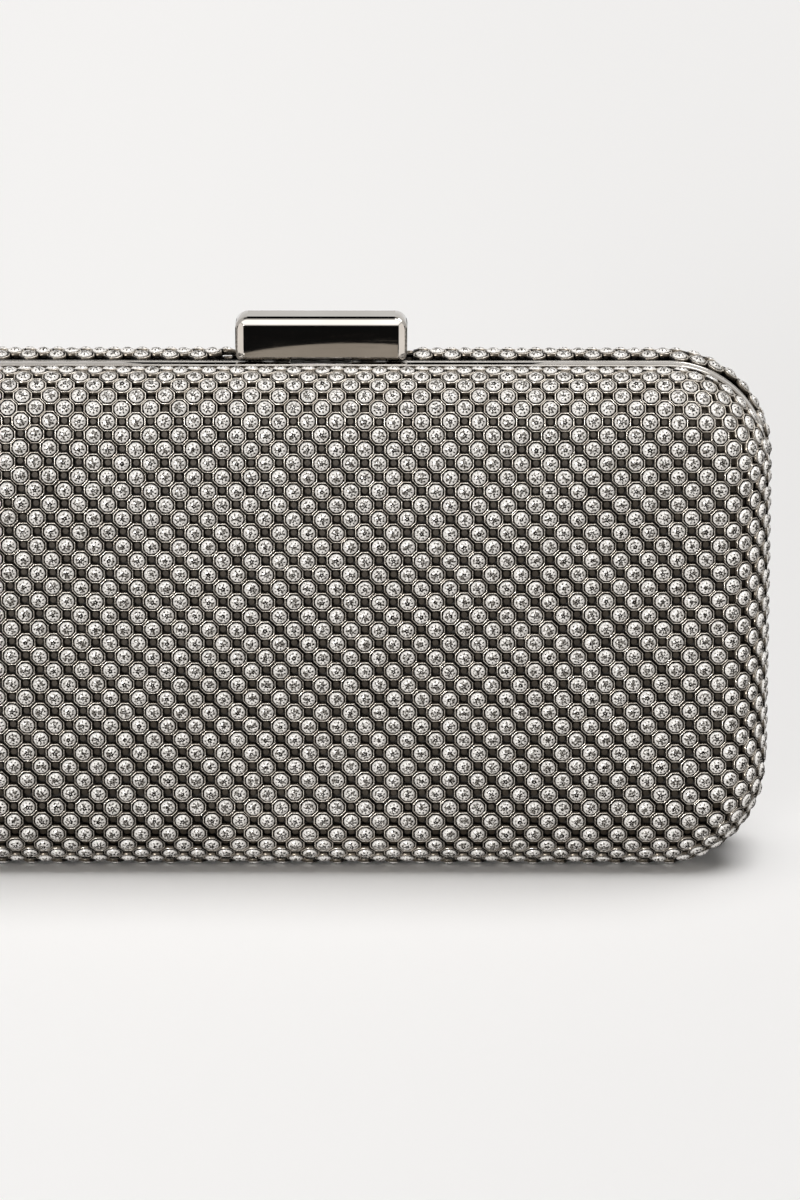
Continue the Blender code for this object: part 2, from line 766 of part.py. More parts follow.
def clasp_lever(finish, pivot):
    """A bent plate soldered under the bar's top: two cheeks down to the pin and a catch lip at the front."""
    plate_high = BAR_TOP - BAR_WALL - FIT
    plate_low = plate_high - LEVER_WALL
    front = BAR_FRONT + BAR_WALL + FIT
    back = BAR_BACK - BAR_WALL - FIT
    cheek_outer = BRACKET_WIDTH / 2 - EAR_WALL - 2 * FIT
    bm = bmesh.new()
    add_box(bm, (-cheek_outer, front, plate_low), (cheek_outer, back, plate_high))
    lever = piece("clasp_lever", bm, finish, pivot)
    bm = bmesh.new()
    inset = LEVER_WALL * ROOT_OVERLAP_SHARE
    eye = (CLASP_PIVOT.y, CLASP_PIVOT.z)
    root = [(back - inset, plate_high - inset), (back - CHEEK_REACH, plate_high - inset)]
    for way in (-1, 1):
        ends = sorted((way * (cheek_outer - inset), way * (cheek_outer - inset - EAR_WALL)))
        hull_prism(bm, root, eye, EYE_RADIUS, ends[0], ends[1])
    half_catch = CATCH_WIDTH / 2
    catch_low = (-half_catch, front + inset, BAR_BOTTOM)
    add_box(bm, catch_low, (half_catch, front + inset + CATCH_WALL, plate_high - inset))
    shape_with(lever, bm, "UNION")
    bm = bmesh.new()
    add_rod(bm, (-BRACKET_WIDTH, *eye), (BRACKET_WIDTH, *eye), CLASP_PIN_RADIUS + RUNNING_FIT)
    shape_with(lever, bm, "DIFFERENCE")
    return lever


def clasp_pin(finish):
    bm = bmesh.new()
    half = BRACKET_WIDTH / 2
    eye = (CLASP_PIVOT.y, CLASP_PIVOT.z)
    add_rod(bm, (-half, *eye), (half, *eye), CLASP_PIN_RADIUS)
    return piece("clasp_pin", bm, finish, None, math.radians(40))


def clasp_striker(finish, pivot):
    """A hard plate let into the front rim, which the catch comes down on."""
    top = RIM_TOP + STRIKER_PROUD
    half = STRIKER_LENGTH / 2
    bm = bmesh.new()
    low = (-half, -STRIKER_SETBACK - STRIKER_WIDTH, top - STRIKER_WALL)
    add_box(bm, low, (half, -STRIKER_SETBACK, top))
    striker = piece("clasp_striker", bm, finish, pivot)
    bm = bmesh.new()
    for _, x, y in top_rivet_places(FRONT):
        add_rod(bm, (x, y, top - STRIKER_WALL - CUT_OVERRUN), (x, y, top + CUT_OVERRUN), RIVET_RADIUS + RIVET_FIT)
    shape_with(striker, bm, "DIFFERENCE")
    return striker


def clasp_spring(finish, pivot):
    """A torsion spring wound round the clasp pin, one leg up to the lever and one down to the bracket."""
    half = SPRING_PITCH * SPRING_TURNS / 2
    steps = SPRING_TURNS * SPRING_POINTS_PER_TURN
    points = []
    up_leg = BAR_TOP - BAR_WALL - LEVER_WALL - 2 * FIT - SPRING_WIRE_RADIUS - CLASP_PIVOT.z
    down_leg = CLASP_PIN_RISE - BRACKET_WALL - 2 * FIT - SPRING_WIRE_RADIUS
    points.append(Vector((-half, SPRING_COIL_RADIUS, up_leg)))
    for step in range(steps + SPRING_POINTS_PER_TURN // 2 + 1):
        angle = math.tau * step / SPRING_POINTS_PER_TURN
        x = -half + SPRING_PITCH * step / SPRING_POINTS_PER_TURN
        y = SPRING_COIL_RADIUS * math.cos(angle)
        points.append(Vector((x, y, -SPRING_COIL_RADIUS * math.sin(angle))))
    end = points[-1].copy()
    end.z = -down_leg
    reached = max(point.x for point in points)
    points[-1] = Vector((reached, points[-1].y, 0))
    points.append(end)
    curve = bpy.data.curves.new("clasp_spring", "CURVE")
    curve.dimensions = "3D"
    curve.bevel_depth = SPRING_WIRE_RADIUS
    curve.bevel_resolution = 1
    curve.use_fill_caps = True
    spline = curve.splines.new("POLY")
    spline.points.add(len(points) - 1)
    for slot, point in zip(spline.points, points):
        slot.co = (*point, 1)
    return place_object("clasp_spring", curve, finish, pivot)


def build():
    for existing in list(bpy.data.objects):
        bpy.data.objects.remove(existing, do_unlink=True)
    stones = crystal_mesh_finish()
    board = shell_finish()
    gunmetal = gunmetal_finish()
    satin = satin_finish()
    steel = steel_finish()
    front_axis = pivot_empty("front_hinge_axis", HINGE_PIVOT)
    clasp_axis = pivot_empty("clasp_axis", CLASP_PIVOT)

    for side, word, pivot in ((BACK, "back", None), (FRONT, "front", front_axis)):
        skin = studded_bowl(f"{word}_crystal_mesh", side, stones, pivot)
        if side == BACK:
            cut_mesh_for_bar(skin)
        shell = half_bowl(
            f"{word}_shell", side, shell_outside, shell_inside, SHELL_EDGE, board, pivot
        )
        cut_shell(shell, side)
        half_bowl(f"{word}_lining", side, lining_outside, lining_inside, LINING_EDGE, satin, pivot)
        cut_rim(rim(f"{word}_rim", side, gunmetal, pivot), side)
        for hinge_name, middle in hinge_places().items():
            hinge_leaf(f"hinge_{hinge_name}_{word}_leaf", side, middle, gunmetal, pivot)
        inner_z = rim_lip_inside(side, -1) - FLAT_CUT + FIT
        for rivet_name, x, y in leaf_rivet_places(side):
            rivet(f"hinge_rivet_{word}_{rivet_name}", (x, y), RIM_BOTTOM, inner_z, False, steel, pivot)

    for hinge_name, middle in hinge_places().items():
        hinge_pin(f"hinge_{hinge_name}_pin", middle, steel)

    clasp_bar(gunmetal, clasp_axis)
    clasp_lever(steel, clasp_axis)
    clasp_spring(steel, clasp_axis)
    clasp_bracket(steel)
    clasp_pin(steel)
    clasp_striker(steel, front_axis)
    bracket_top = RIM_TOP + FIT + BRACKET_WALL + FIT
    inner_back = BAG_HEIGHT - rim_lip_inside(BACK, 1) - FIT
    for rivet_name, x, y in top_rivet_places(BACK):
        rivet(f"bracket_rivet_{rivet_name}", (x, y), bracket_top, inner_back, True, steel, None)
    striker_top = RIM_TOP + STRIKER_PROUD
    inner_front = BAG_HEIGHT - rim_lip_inside(FRONT, 1) - FIT
    for rivet_name, x, y in top_rivet_places(FRONT):
        rivet(f"striker_rivet_{rivet_name}", (x, y), striker_top, inner_front, False, steel, front_axis)


build()
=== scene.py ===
"""A hard clutch bag skinned with crystal mesh, standing on its long edge on a pale studio floor.

Metres throughout, X along the bag, with the front half towards -Y.
"""

import json
import math

import bmesh
import bpy
import numpy as np
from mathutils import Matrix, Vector

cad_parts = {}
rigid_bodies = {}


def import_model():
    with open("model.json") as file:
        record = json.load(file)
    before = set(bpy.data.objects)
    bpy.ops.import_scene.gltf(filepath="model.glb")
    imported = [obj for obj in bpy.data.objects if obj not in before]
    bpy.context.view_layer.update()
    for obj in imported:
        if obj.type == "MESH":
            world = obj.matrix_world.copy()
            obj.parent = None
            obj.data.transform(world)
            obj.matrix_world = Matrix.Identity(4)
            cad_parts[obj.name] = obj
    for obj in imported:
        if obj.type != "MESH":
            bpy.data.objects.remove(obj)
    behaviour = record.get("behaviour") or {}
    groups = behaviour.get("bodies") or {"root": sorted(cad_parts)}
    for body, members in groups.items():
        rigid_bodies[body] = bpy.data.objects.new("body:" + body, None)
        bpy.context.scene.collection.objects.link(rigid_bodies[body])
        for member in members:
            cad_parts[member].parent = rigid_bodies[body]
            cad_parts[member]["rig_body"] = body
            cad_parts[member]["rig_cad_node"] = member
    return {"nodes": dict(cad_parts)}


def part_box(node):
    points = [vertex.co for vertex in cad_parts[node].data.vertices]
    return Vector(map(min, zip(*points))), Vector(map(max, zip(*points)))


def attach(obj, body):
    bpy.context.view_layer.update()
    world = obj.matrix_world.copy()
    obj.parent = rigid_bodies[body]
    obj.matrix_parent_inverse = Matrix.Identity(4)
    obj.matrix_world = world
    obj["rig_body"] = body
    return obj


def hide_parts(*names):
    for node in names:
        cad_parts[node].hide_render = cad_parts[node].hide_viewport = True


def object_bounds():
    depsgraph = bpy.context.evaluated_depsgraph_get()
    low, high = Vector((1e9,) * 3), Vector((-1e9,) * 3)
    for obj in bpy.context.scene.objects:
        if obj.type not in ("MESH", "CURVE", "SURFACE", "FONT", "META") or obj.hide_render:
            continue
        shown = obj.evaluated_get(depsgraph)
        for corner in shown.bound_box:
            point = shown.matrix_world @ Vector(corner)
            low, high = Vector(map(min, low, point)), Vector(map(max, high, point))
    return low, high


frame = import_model()
cad_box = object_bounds()
nodes = frame["nodes"]

# Half shells
# Two hard half boxes of fibre board, moulded over a form and brushed with dark glue before the crystal mesh
# is stretched over them. They show only at the bottom of the square holes between the stones.
# The board's near-black is partly board and glue and partly painted shade at the bottom of the holes.
BOARD_COLOUR = (0.020, 0.0165, 0.013, 1)
BOARD_GLUE_COLOUR = (0.034, 0.029, 0.023, 1)


class Shade:
    """A value on its way through the nodes of one finish. Sums written on it add Math nodes."""

    def __init__(self, tree, socket=None):
        self.tree = tree
        self.socket = socket

    def node(self, kind, settings=None, sockets=None, output=0):
        """Adds a node, makes its settings, then gives its sockets their numbers or links."""
        made = self.tree.nodes.new("ShaderNode" + kind)
        for key, value in (settings or {}).items():
            setattr(made, key, value)
        for key, value in (sockets or {}).items():
            if isinstance(value, Shade):
                self.tree.links.new(value.socket, made.inputs[key])
            else:
                made.inputs[key].default_value = value
        return Shade(self.tree, made.outputs[output])

    def output(self, index):
        """Another output of the node that this value comes from."""
        return Shade(self.tree, self.socket.node.outputs[index])

    def maths(self, operation, *others):
        return self.node("Math", {"operation": operation}, dict(enumerate((self, *others))))

    def __add__(self, other):
        return self.maths("ADD", other)

    def __sub__(self, other):
        return self.maths("SUBTRACT", other)

    def __rsub__(self, other):
        return self.node("Math", {"operation": "SUBTRACT"}, {0: other, 1: self})

    def __mul__(self, other):
        return self.maths("MULTIPLY", other)

    def __pow__(self, other):
        return self.maths("POWER", other)

    __radd__ = __add__
    __rmul__ = __mul__

    def between(self, low, high, start=0, end=1):
        """Runs from start to end, smoothly, as this value goes from low to high."""
        sockets = {0: self, 1: low, 2: high, 3: start, 4: end}
        return self.node("MapRange", {"interpolation_type": "SMOOTHSTEP", "clamp": True}, sockets)

    def colours(self, first, second):
        """The first colour where this value is 0 and the second where it is 1."""
        return self.node("Mix", {"data_type": "RGBA"}, {0: self, 6: first, 7: second}, 2)


def finish(name, colour, roughness, metallic=0, **constants):
    """A new material: its shader with the even values set, and the place on the bag for its patterns."""
    made = bpy.data.materials.new(name)
    made.use_nodes = True
    shader = made.node_tree.nodes["Principled BSDF"]
    shader.inputs["Base Color"].default_value = colour
    shader.inputs["Roughness"].default_value = roughness
    shader.inputs["Metallic"].default_value = metallic
    for key, value in constants.items():
        shader.inputs[key.replace("_", " ").title().replace("Ior", "IOR")].default_value = value
    place = Shade(made.node_tree).node("TexCoord", output=3)
    return made, shader, place


def feed(shader, name, value):
    """Links a changing value to one of the shader's sockets."""
    value.tree.links.new(value.socket, shader.inputs[name])


def grain(place, scale, detail=2):
    """Cloudy noise, finer as the scale grows."""
    return place.node("TexNoise", None, {"Vector": place, "Scale": scale, "Detail": detail})


def relief(height, strength, distance):
    """A bump in the surface that follows a changing height."""
    return height.node("Bump", None, {"Strength": strength, "Distance": distance, "Height": height})


def stretched(place, scale):
    """The place with each axis scaled by its own factor, for brushed and combed grain."""
    return place.node("VectorMath", {"operation": "MULTIPLY"}, {0: place, 1: scale})


board, shader, place = finish("shell_board", BOARD_COLOUR, 0.8)
feed(shader, "Base Color", grain(place, 900).between(0.35, 0.7).colours(BOARD_COLOUR, BOARD_GLUE_COLOUR))
feed(shader, "Roughness", grain(place, 400).between(0.3, 0.7, 0.6, 0.9))
feed(shader, "Normal", relief(grain(place, 1500, 4), 0.3, 0.0002))


def coat(piece, material):
    """Gives a piece one finish all over."""
    piece.data.materials.clear()
    piece.data.materials.append(material)


def refinish(node_names, material):
    """Gives CAD nodes a new finish in place of their plain one."""
    for node_name in node_names:
        coat(nodes[node_name], material)


refinish(("front_shell", "back_shell"), board)

# Crystal mesh
# Glass stones in round metal cups, each on an eight-sided plate that is linked to four neighbours, so the
# mesh bends like cloth. It is glued over each half, and its stones crowd where it turns the corners.
FRONT = -1
BACK = 1
BAG_LENGTH = 0.180
BAG_HEIGHT = 0.1034
CORNER_RADIUS = 0.0215
FLAT_CUT = 0.0004
STEP_IN = 0.0009
ROLL_START = 0.0033
ROLL_DEPTH = 0.0125
ROLL_INSET = 0.0115
BOTTOM_ROLL_INSET = 0.0165
FACE_CROWN = 0.0020
LAST_ROLL_ANGLE = math.radians(84)
RUN_X = BAG_LENGTH / 2 - CORNER_RADIUS
RUN_Z = (BAG_HEIGHT + FLAT_CUT) / 2 - CORNER_RADIUS
OUTLINE_CENTRE_Z = (BAG_HEIGHT - FLAT_CUT) / 2
ROLL_POINTS = 49
FACE_DIRECTIONS = 1440
FACE_EDGE_POINTS = 4000
HARDLY_ANY = 1e-9

STONE_PITCH = 0.00392
COLUMN_STEP = 0.00280
ROW_STEP = 0.00273
ROW_SLACK = 0.0000024
MOST_COLUMNS = 80
MOST_ROWS = 60
FIRST_FROM_RIM = {FRONT: (0.00115, 0.00012), BACK: (0.00160, 0.00060)}
BUNCHED_BY = 0.00135
BUNCHED_WITHIN = 0.0015
EDGE_ROOM = 0.00135
CROWD_SHARE = 0.76
EASED_SHARE = 0.99
PUSH_SHARE = 0.25
PUSH_ROUNDS = 60
CORNER_TURN = 0.02
CORNER_FROM_CORE = 0.004
LAY_ERROR = 0.00003
STONE_TIP = 0.02

GIRDLE_RADIUS = 0.00149
TABLE_RADIUS = 0.00086
CROWN_HEIGHT = 0.00042
GIRDLE_HEIGHT = 0.00014
NARROW_FACET_SHARE = 0.14
TABLE_EDGE_SHARE = 0.2
TABLE_RISE_SHARE = 0.12
CUP_RIM_DOWN = 0.00052
CUP_RIM_REACH = 0.00182
CUP_RIM_WIDTH = 0.00015
CUP_RIM_ROUND_SHARE = 0.3
CUP_WALL_HEIGHT = 0.00045
CUP_GROOVE_DEPTH = 0.00024
PLATE_REACH = 0.00193
PLATE_THICKNESS = 0.00030
BUTTON_RADIUS = 0.00068
BUTTON_TOP_DOWN = 0.00135
BUTTON_HEIGHT = 0.00060
BUTTON_ROUND_SHARE = 0.14

BACK_MESH_PROUD = 0.00075
RIM_DIP = {FRONT: 0.0006, BACK: 0.0014}
RIM_DIP_WITHIN = {FRONT: 0.0018, BACK: 0.0035}
FOOT_SAG = 0.0006
FOOT_SAG_FROM_RIM = 0.012
FOOT_SAG_WITHIN = 0.006
SAG_DOWN_SHARE = 0.75
SAG_OUT_SHARE = 0.65
LOWEST = 0.0003
PINCHES = (
    (-0.0156, 0.0112, 0.00036, 0.00022, 0.0045),
    (-0.0570, 0.0270, -0.00045, 0.00035, 0.0110),
    (0.0880, 0.0420, -0.00025, 0.00028, 0.0035),
    (0.0740, 0.0905, 0.00032, -0.00030, 0.0040),
    (-0.0200, 0.0990, 0.00034, 0.00025, 0.0045),
)
DRIFT = 0.00010
DRIFT_LENGTH = 0.0035
DRIFT_FREE_FROM = 0.005
DRIFT_ALONG = (0.7, 1.3, 0.9)
DRIFT_UP = (0.8, 0.6, 0.7)
rng = np.random.default_rng(7)


def rolled_edge(side, normal_z, angle):
    """The skin's distance in from the outline and its depth from the seam, at an angle round the edge."""
    down = np.maximum(0, -normal_z) ** 2
    outside = STEP_IN * (1 - down) if side == FRONT else 0 * down
    turned = ROLL_INSET + (BOTTOM_ROLL_INSET - ROLL_INSET) * down
    inset = outside + (turned - outside) * (1 - np.cos(angle))
    return inset, ROLL_START + ROLL_DEPTH * np.sin(angle) + 0 * down


def from_core(flat):
    """For places on the skin laid out flat: the nearest point of its core, the way out and the distance."""
    core = np.clip(flat, (-RUN_X, -RUN_Z), (RUN_X, RUN_Z))
    out = flat - core
    reach = np.linalg.norm(out, axis=1)
    way = out / np.maximum(reach, HARDLY_ANY)[:, None]
    way[reach < HARDLY_ANY] = (0, 1)
    return core, way, reach


def unrolled(side, way):
    """For each way out of the core: radius in plan, depth and length along the skin, from face to rim."""
    angles = np.linspace(LAST_ROLL_ANGLE, 0, ROLL_POINTS)
    inset, depth = rolled_edge(side, way[:, 1:2], angles[None, :])
    radius = CORNER_RADIUS - inset
    steps = np.hypot(np.diff(radius, axis=1), np.diff(depth, axis=1))
    length = np.concatenate([radius[:, :1], steps], axis=1).cumsum(axis=1)
    return radius, depth, length


def face_edge(side):
    """Middle height of the flat face and its reach from there in each direction."""
    turn = np.linspace(0, math.tau, FACE_DIRECTIONS, endpoint=False)
    way = np.stack([np.cos(turn), np.sin(turn)], axis=1)
    radius = unrolled(side, way)[0][:, :1]
    core = np.stack([np.sign(way[:, 0]) * RUN_X, np.sign(way[:, 1]) * RUN_Z], axis=1)
    corners = core + way * radius
    gone = np.linalg.norm(np.diff(corners, axis=0, append=corners[:1]), axis=1).cumsum()
    even = np.linspace(gone[0], gone[-1], FACE_EDGE_POINTS)
    edge = np.stack([np.interp(even, gone, np.roll(corners[:, axis], -1)) for axis in (0, 1)], axis=1)
    middle = (edge[:, 1].min() + edge[:, 1].max()) / 2
    edge[:, 1] -= middle
    bearing = np.arctan2(edge[:, 1], edge[:, 0])
    order = np.argsort(bearing)
    return middle, bearing[order], np.linalg.norm(edge, axis=1)[order]


FACES = {side: face_edge(side) for side in (FRONT, BACK)}


def skin(side, flat):
    """Wraps places on the flat mesh over one half of the bag."""
    core, way, reach = from_core(flat)
    radius, depth, length = unrolled(side, way)
    index = np.clip((length <= reach[:, None]).sum(axis=1) - 1, 0, length.shape[1] - 2)
    row = np.arange(len(flat))
    share = (reach - length[row, index]) / (length[row, index + 1] - length[row, index])
    share = np.clip(share, 0, 1)
    rolled = reach > length[:, 0]
    out = radius[row, index] + share * (radius[row, index + 1] - radius[row, index])
    deep = depth[row, index] + share * (depth[row, index + 1] - depth[row, index])
    out = np.where(rolled, out, reach)
    from_rim = length[:, -1] - reach
    dip = RIM_DIP[side] * np.exp(-((from_rim / RIM_DIP_WITHIN[side]) ** 2))
    near_foot = np.exp(-(((from_rim - FOOT_SAG_FROM_RIM) / FOOT_SAG_WITHIN) ** 2))
    sag = FOOT_SAG * np.maximum(0, -way[:, 1]) * near_foot
    out = out - dip + sag * SAG_DOWN_SHARE
    middle, bearing, edge_reach = FACES[side]
    from_middle = flat - (0, middle)
    turn = np.arctan2(from_middle[:, 1], from_middle[:, 0])
    gauge = np.linalg.norm(from_middle, axis=1) / np.interp(turn, bearing, edge_reach, period=math.tau)
    crown = FACE_CROWN * (1 - np.minimum(gauge, 1) ** 2)
    deep = np.where(rolled, deep + sag * SAG_OUT_SHARE, depth[:, 0] + crown)
    place_z = np.maximum(OUTLINE_CENTRE_Z + core[:, 1] + way[:, 1] * out, LOWEST)
    return np.stack([core[:, 0] + way[:, 0] * out, side * deep, place_z], axis=1)


def unit(vectors):
    return vectors / np.linalg.norm(vectors, axis=1)[:, None]


def stances(side, flat):
    """Where stones stand on the skin: their places and the ways along the mesh, across it and out of it.

    Across is up the front and down the back, so that the three always make a right-handed set.
    """
    step = 0.0002
    place = skin(side, flat)
    along = unit(skin(side, flat + (step, 0)) - skin(side, flat - (step, 0)))
    up = unit(skin(side, flat + (0, step)) - skin(side, flat - (0, step)))
    out = unit(np.cross(along, up)) * -side
    _, way, reach = from_core(flat)
    outward = np.stack([way[:, 0], np.full(len(flat), side), way[:, 1]], axis=1)
    outward[reach < unrolled(side, way)[2][:, 0]] = (0, side, 0)
    out = np.where((out * outward).sum(axis=1)[:, None] < 0, -out, out)
    turned = np.cross(up, out) * -side
    along = unit(along + np.where((turned * along).sum(axis=1)[:, None] < 0, -turned, turned))
    return place, along, np.cross(out, along), out


def room_to_rim(side, flat):
    """How much of the skin is left between each place and the rim."""
    _, way, reach = from_core(flat)
    return unrolled(side, way)[2][:, -1] - reach


def hand_laid(flat, top, freedom):
    """The mesh as it is pressed down by hand: it drifts a little all over, and is pinched in a few places."""
    x, z = flat.T / DRIFT_LENGTH
    along = np.sin(x * DRIFT_ALONG[0] + DRIFT_ALONG[1]) * np.cos(z * DRIFT_ALONG[2])
    up = np.cos(x * DRIFT_UP[0]) * np.sin(z * DRIFT_UP[1] + DRIFT_UP[2])
    moved = flat + DRIFT * freedom[:, None] * np.stack([along, up], axis=1)
    for pinch_x, down, shift_x, shift_z, reach in PINCHES:
        near = np.exp(-((flat[:, 0] - pinch_x) ** 2 + (flat[:, 1] - top + down) ** 2) / reach**2)
        moved += near[:, None] * (shift_x, shift_z)
    return moved


def mesh_sites(side, odd):
    """The flat places of the stones, or of the holes between them. Row by row the mesh hangs longer."""
    top = RUN_Z + unrolled(side, np.array([[0.0, 1.0]]))[2][0, -1]
    right = RUN_X + unrolled(side, np.array([[1.0, 0.0]]))[2][0, -1]
    first_column, first_row = FIRST_FROM_RIM[side]
    column, row = np.meshgrid(np.arange(MOST_COLUMNS), np.arange(MOST_ROWS))
    keep = (column + row) % 2 != odd
    column, row = column[keep], row[keep]
    inward = first_column + column * COLUMN_STEP
    down = first_row + row * (ROW_STEP + row * ROW_SLACK)
    inward = inward + BUNCHED_BY * np.exp(-inward / BUNCHED_WITHIN)
    down = down + BUNCHED_BY * np.exp(-down / BUNCHED_WITHIN)
    flat = np.stack([right - inward, top - down], axis=1)
    room = room_to_rim(side, flat) - EDGE_ROOM
    on_skin = room > 0
    return hand_laid(flat[on_skin], top, np.minimum(room[on_skin] / DRIFT_FREE_FROM, 1))


def thinned(side, flat):
    """Drops the stones that the turned corners would press into their neighbours."""
    place = skin(side, flat)
    order = np.argsort(room_to_rim(side, flat), kind="stable")
    kept = []
    for index in order:
        near = np.linalg.norm(place[kept] - place[index], axis=1) if kept else np.array([1.0])
        if near.min() > CROWD_SHARE * STONE_PITCH:
            kept.append(index)
    return flat[sorted(kept)]


def eased(side, flat):
    """Lets the stones in the corners push each other into even spacing."""
    _, way, reach = from_core(flat)
    corner = (np.abs(way).min(axis=1) > CORNER_TURN) & (reach > CORNER_FROM_CORE)
    for _ in range(PUSH_ROUNDS):
        place, along, up, _ = stances(side, flat)
        apart = place[corner][:, None, :] - place[None, :, :]
        distance = np.linalg.norm(apart, axis=2)
        distance[distance < HARDLY_ANY] = 1
        push = np.clip(STONE_PITCH * EASED_SHARE - distance, 0, None) / distance * PUSH_SHARE
        move = (apart * push[:, :, None]).sum(axis=1)
        rise = (move * up[corner]).sum(axis=1) * -side
        shift = np.stack([(move * along[corner]).sum(axis=1), rise], axis=1)
        moved = flat.copy()
        moved[corner] += shift
        over = EDGE_ROOM - room_to_rim(side, moved)
        moved -= from_core(moved)[1] * np.maximum(over, 0)[:, None]
        flat = moved
    return flat


def fresh():
    """Out of edit mode with nothing selected."""
    if bpy.context.object and bpy.context.object.mode != "OBJECT":
        bpy.ops.object.mode_set(mode="OBJECT")
    bpy.ops.object.select_all(action="DESELECT")


def set_in_place():
    """Turns the new primitive's own place, turn and size into its mesh."""
    bpy.ops.object.transform_apply(location=True, rotation=True, scale=True)


def smooth(piece, degrees):
    """Shades a piece smooth but for the edges that turn by more than an angle."""
    fresh()
    piece.select_set(True)
    bpy.context.view_layer.objects.active = piece
    bpy.ops.object.shade_smooth_by_angle(angle=math.radians(degrees))


def select(kind, wanted):
    """In edit mode, selects the faces or edges that a test on them picks, and nothing else."""
    bpy.ops.mesh.select_all(action="DESELECT")
    bpy.ops.mesh.select_mode(type=kind)
    bm = bmesh.from_edit_mesh(bpy.context.object.data)
    for item in {"FACE": bm.faces, "EDGE": bm.edges}[kind]:
        if wanted(item):
            item.select_set(True)
    bmesh.update_edit_mesh(bpy.context.object.data)


def middle_of(item):
    if isinstance(item, bmesh.types.BMFace):
        return item.calc_center_median()
    return (item.verts[0].co + item.verts[1].co) / 2


SQUARE_ON = 0.9
OUTER_EDGE_SHARE = 0.98
HEIGHT_FIT = 1e-6


def model_stone():
    """One cut stone, table up at height 0: eight main facets with narrow ones between, and a thin girdle."""
    fresh()
    bpy.ops.mesh.primitive_cone_add(
        vertices=8,
        radius1=GIRDLE_RADIUS,
        radius2=TABLE_RADIUS,
        depth=CROWN_HEIGHT,
        location=(0, 0, -CROWN_HEIGHT / 2),
    )
    set_in_place()
    bpy.ops.object.mode_set(mode="EDIT")
    select("EDGE", lambda edge: abs(edge.verts[0].co.z - edge.verts[1].co.z) > CROWN_HEIGHT / 2)
    bpy.ops.mesh.bevel(offset=GIRDLE_RADIUS * NARROW_FACET_SHARE, segments=1)
    select("FACE", lambda face: face.normal.z < -SQUARE_ON)
    bpy.ops.mesh.extrude_region_move(TRANSFORM_OT_translate={"value": (0, 0, -GIRDLE_HEIGHT)})
    select("FACE", lambda face: face.normal.z > SQUARE_ON)
    bpy.ops.mesh.inset(thickness=TABLE_RADIUS * TABLE_EDGE_SHARE)
    bpy.ops.transform.translate(value=(0, 0, CROWN_HEIGHT * TABLE_RISE_SHARE))
    fresh()
    return bpy.context.object


def model_cup():
    """One eight-sided plate drawn up into a cup: a raised rim with a groove inside it for the stone."""
    fresh()
    bpy.ops.mesh.primitive_cylinder_add(
        vertices=8,
        radius=PLATE_REACH / math.cos(math.pi / 8),
        depth=PLATE_THICKNESS,
        location=(0, 0, -CUP_RIM_DOWN - CUP_WALL_HEIGHT - PLATE_THICKNESS / 2),
        rotation=(0, 0, math.pi / 8),
    )
    set_in_place()
    bpy.ops.object.mode_set(mode="EDIT")
    select("FACE", lambda face: face.normal.z > SQUARE_ON)
    bpy.ops.mesh.extrude_region_move(TRANSFORM_OT_translate={"value": (0, 0, CUP_WALL_HEIGHT)})
    narrowed = CUP_RIM_REACH / PLATE_REACH
    bpy.ops.transform.resize(value=(narrowed, narrowed, 1), center_override=(0, 0, 0))
    bpy.ops.mesh.inset(thickness=CUP_RIM_WIDTH)
    bpy.ops.mesh.extrude_region_move(TRANSFORM_OT_translate={"value": (0, 0, -CUP_GROOVE_DEPTH)})
    outermost = CUP_RIM_REACH * OUTER_EDGE_SHARE
    just_below = -CUP_RIM_DOWN - HEIGHT_FIT
    select("EDGE", lambda edge: middle_of(edge).xy.length > outermost and middle_of(edge).z > just_below)
    bpy.ops.mesh.bevel(offset=CUP_RIM_WIDTH * CUP_RIM_ROUND_SHARE, segments=1)
    fresh()
    return bpy.context.object


def model_button():
    """One flat-topped button of the layer below, seen down the hole between four cups."""
    fresh()
    bpy.ops.mesh.primitive_cylinder_add(
        vertices=12,
        radius=BUTTON_RADIUS,
        depth=BUTTON_HEIGHT,
        location=(0, 0, -BUTTON_TOP_DOWN - BUTTON_HEIGHT / 2),
    )
    set_in_place()
    bpy.ops.object.mode_set(mode="EDIT")
    half_way_down = -BUTTON_TOP_DOWN - BUTTON_HEIGHT / 2
    select("EDGE", lambda edge: min(vertex.co.z for vertex in edge.verts) > half_way_down)
    bpy.ops.mesh.bevel(offset=BUTTON_RADIUS * BUTTON_ROUND_SHARE, segments=1)
    fresh()
    return bpy.context.object


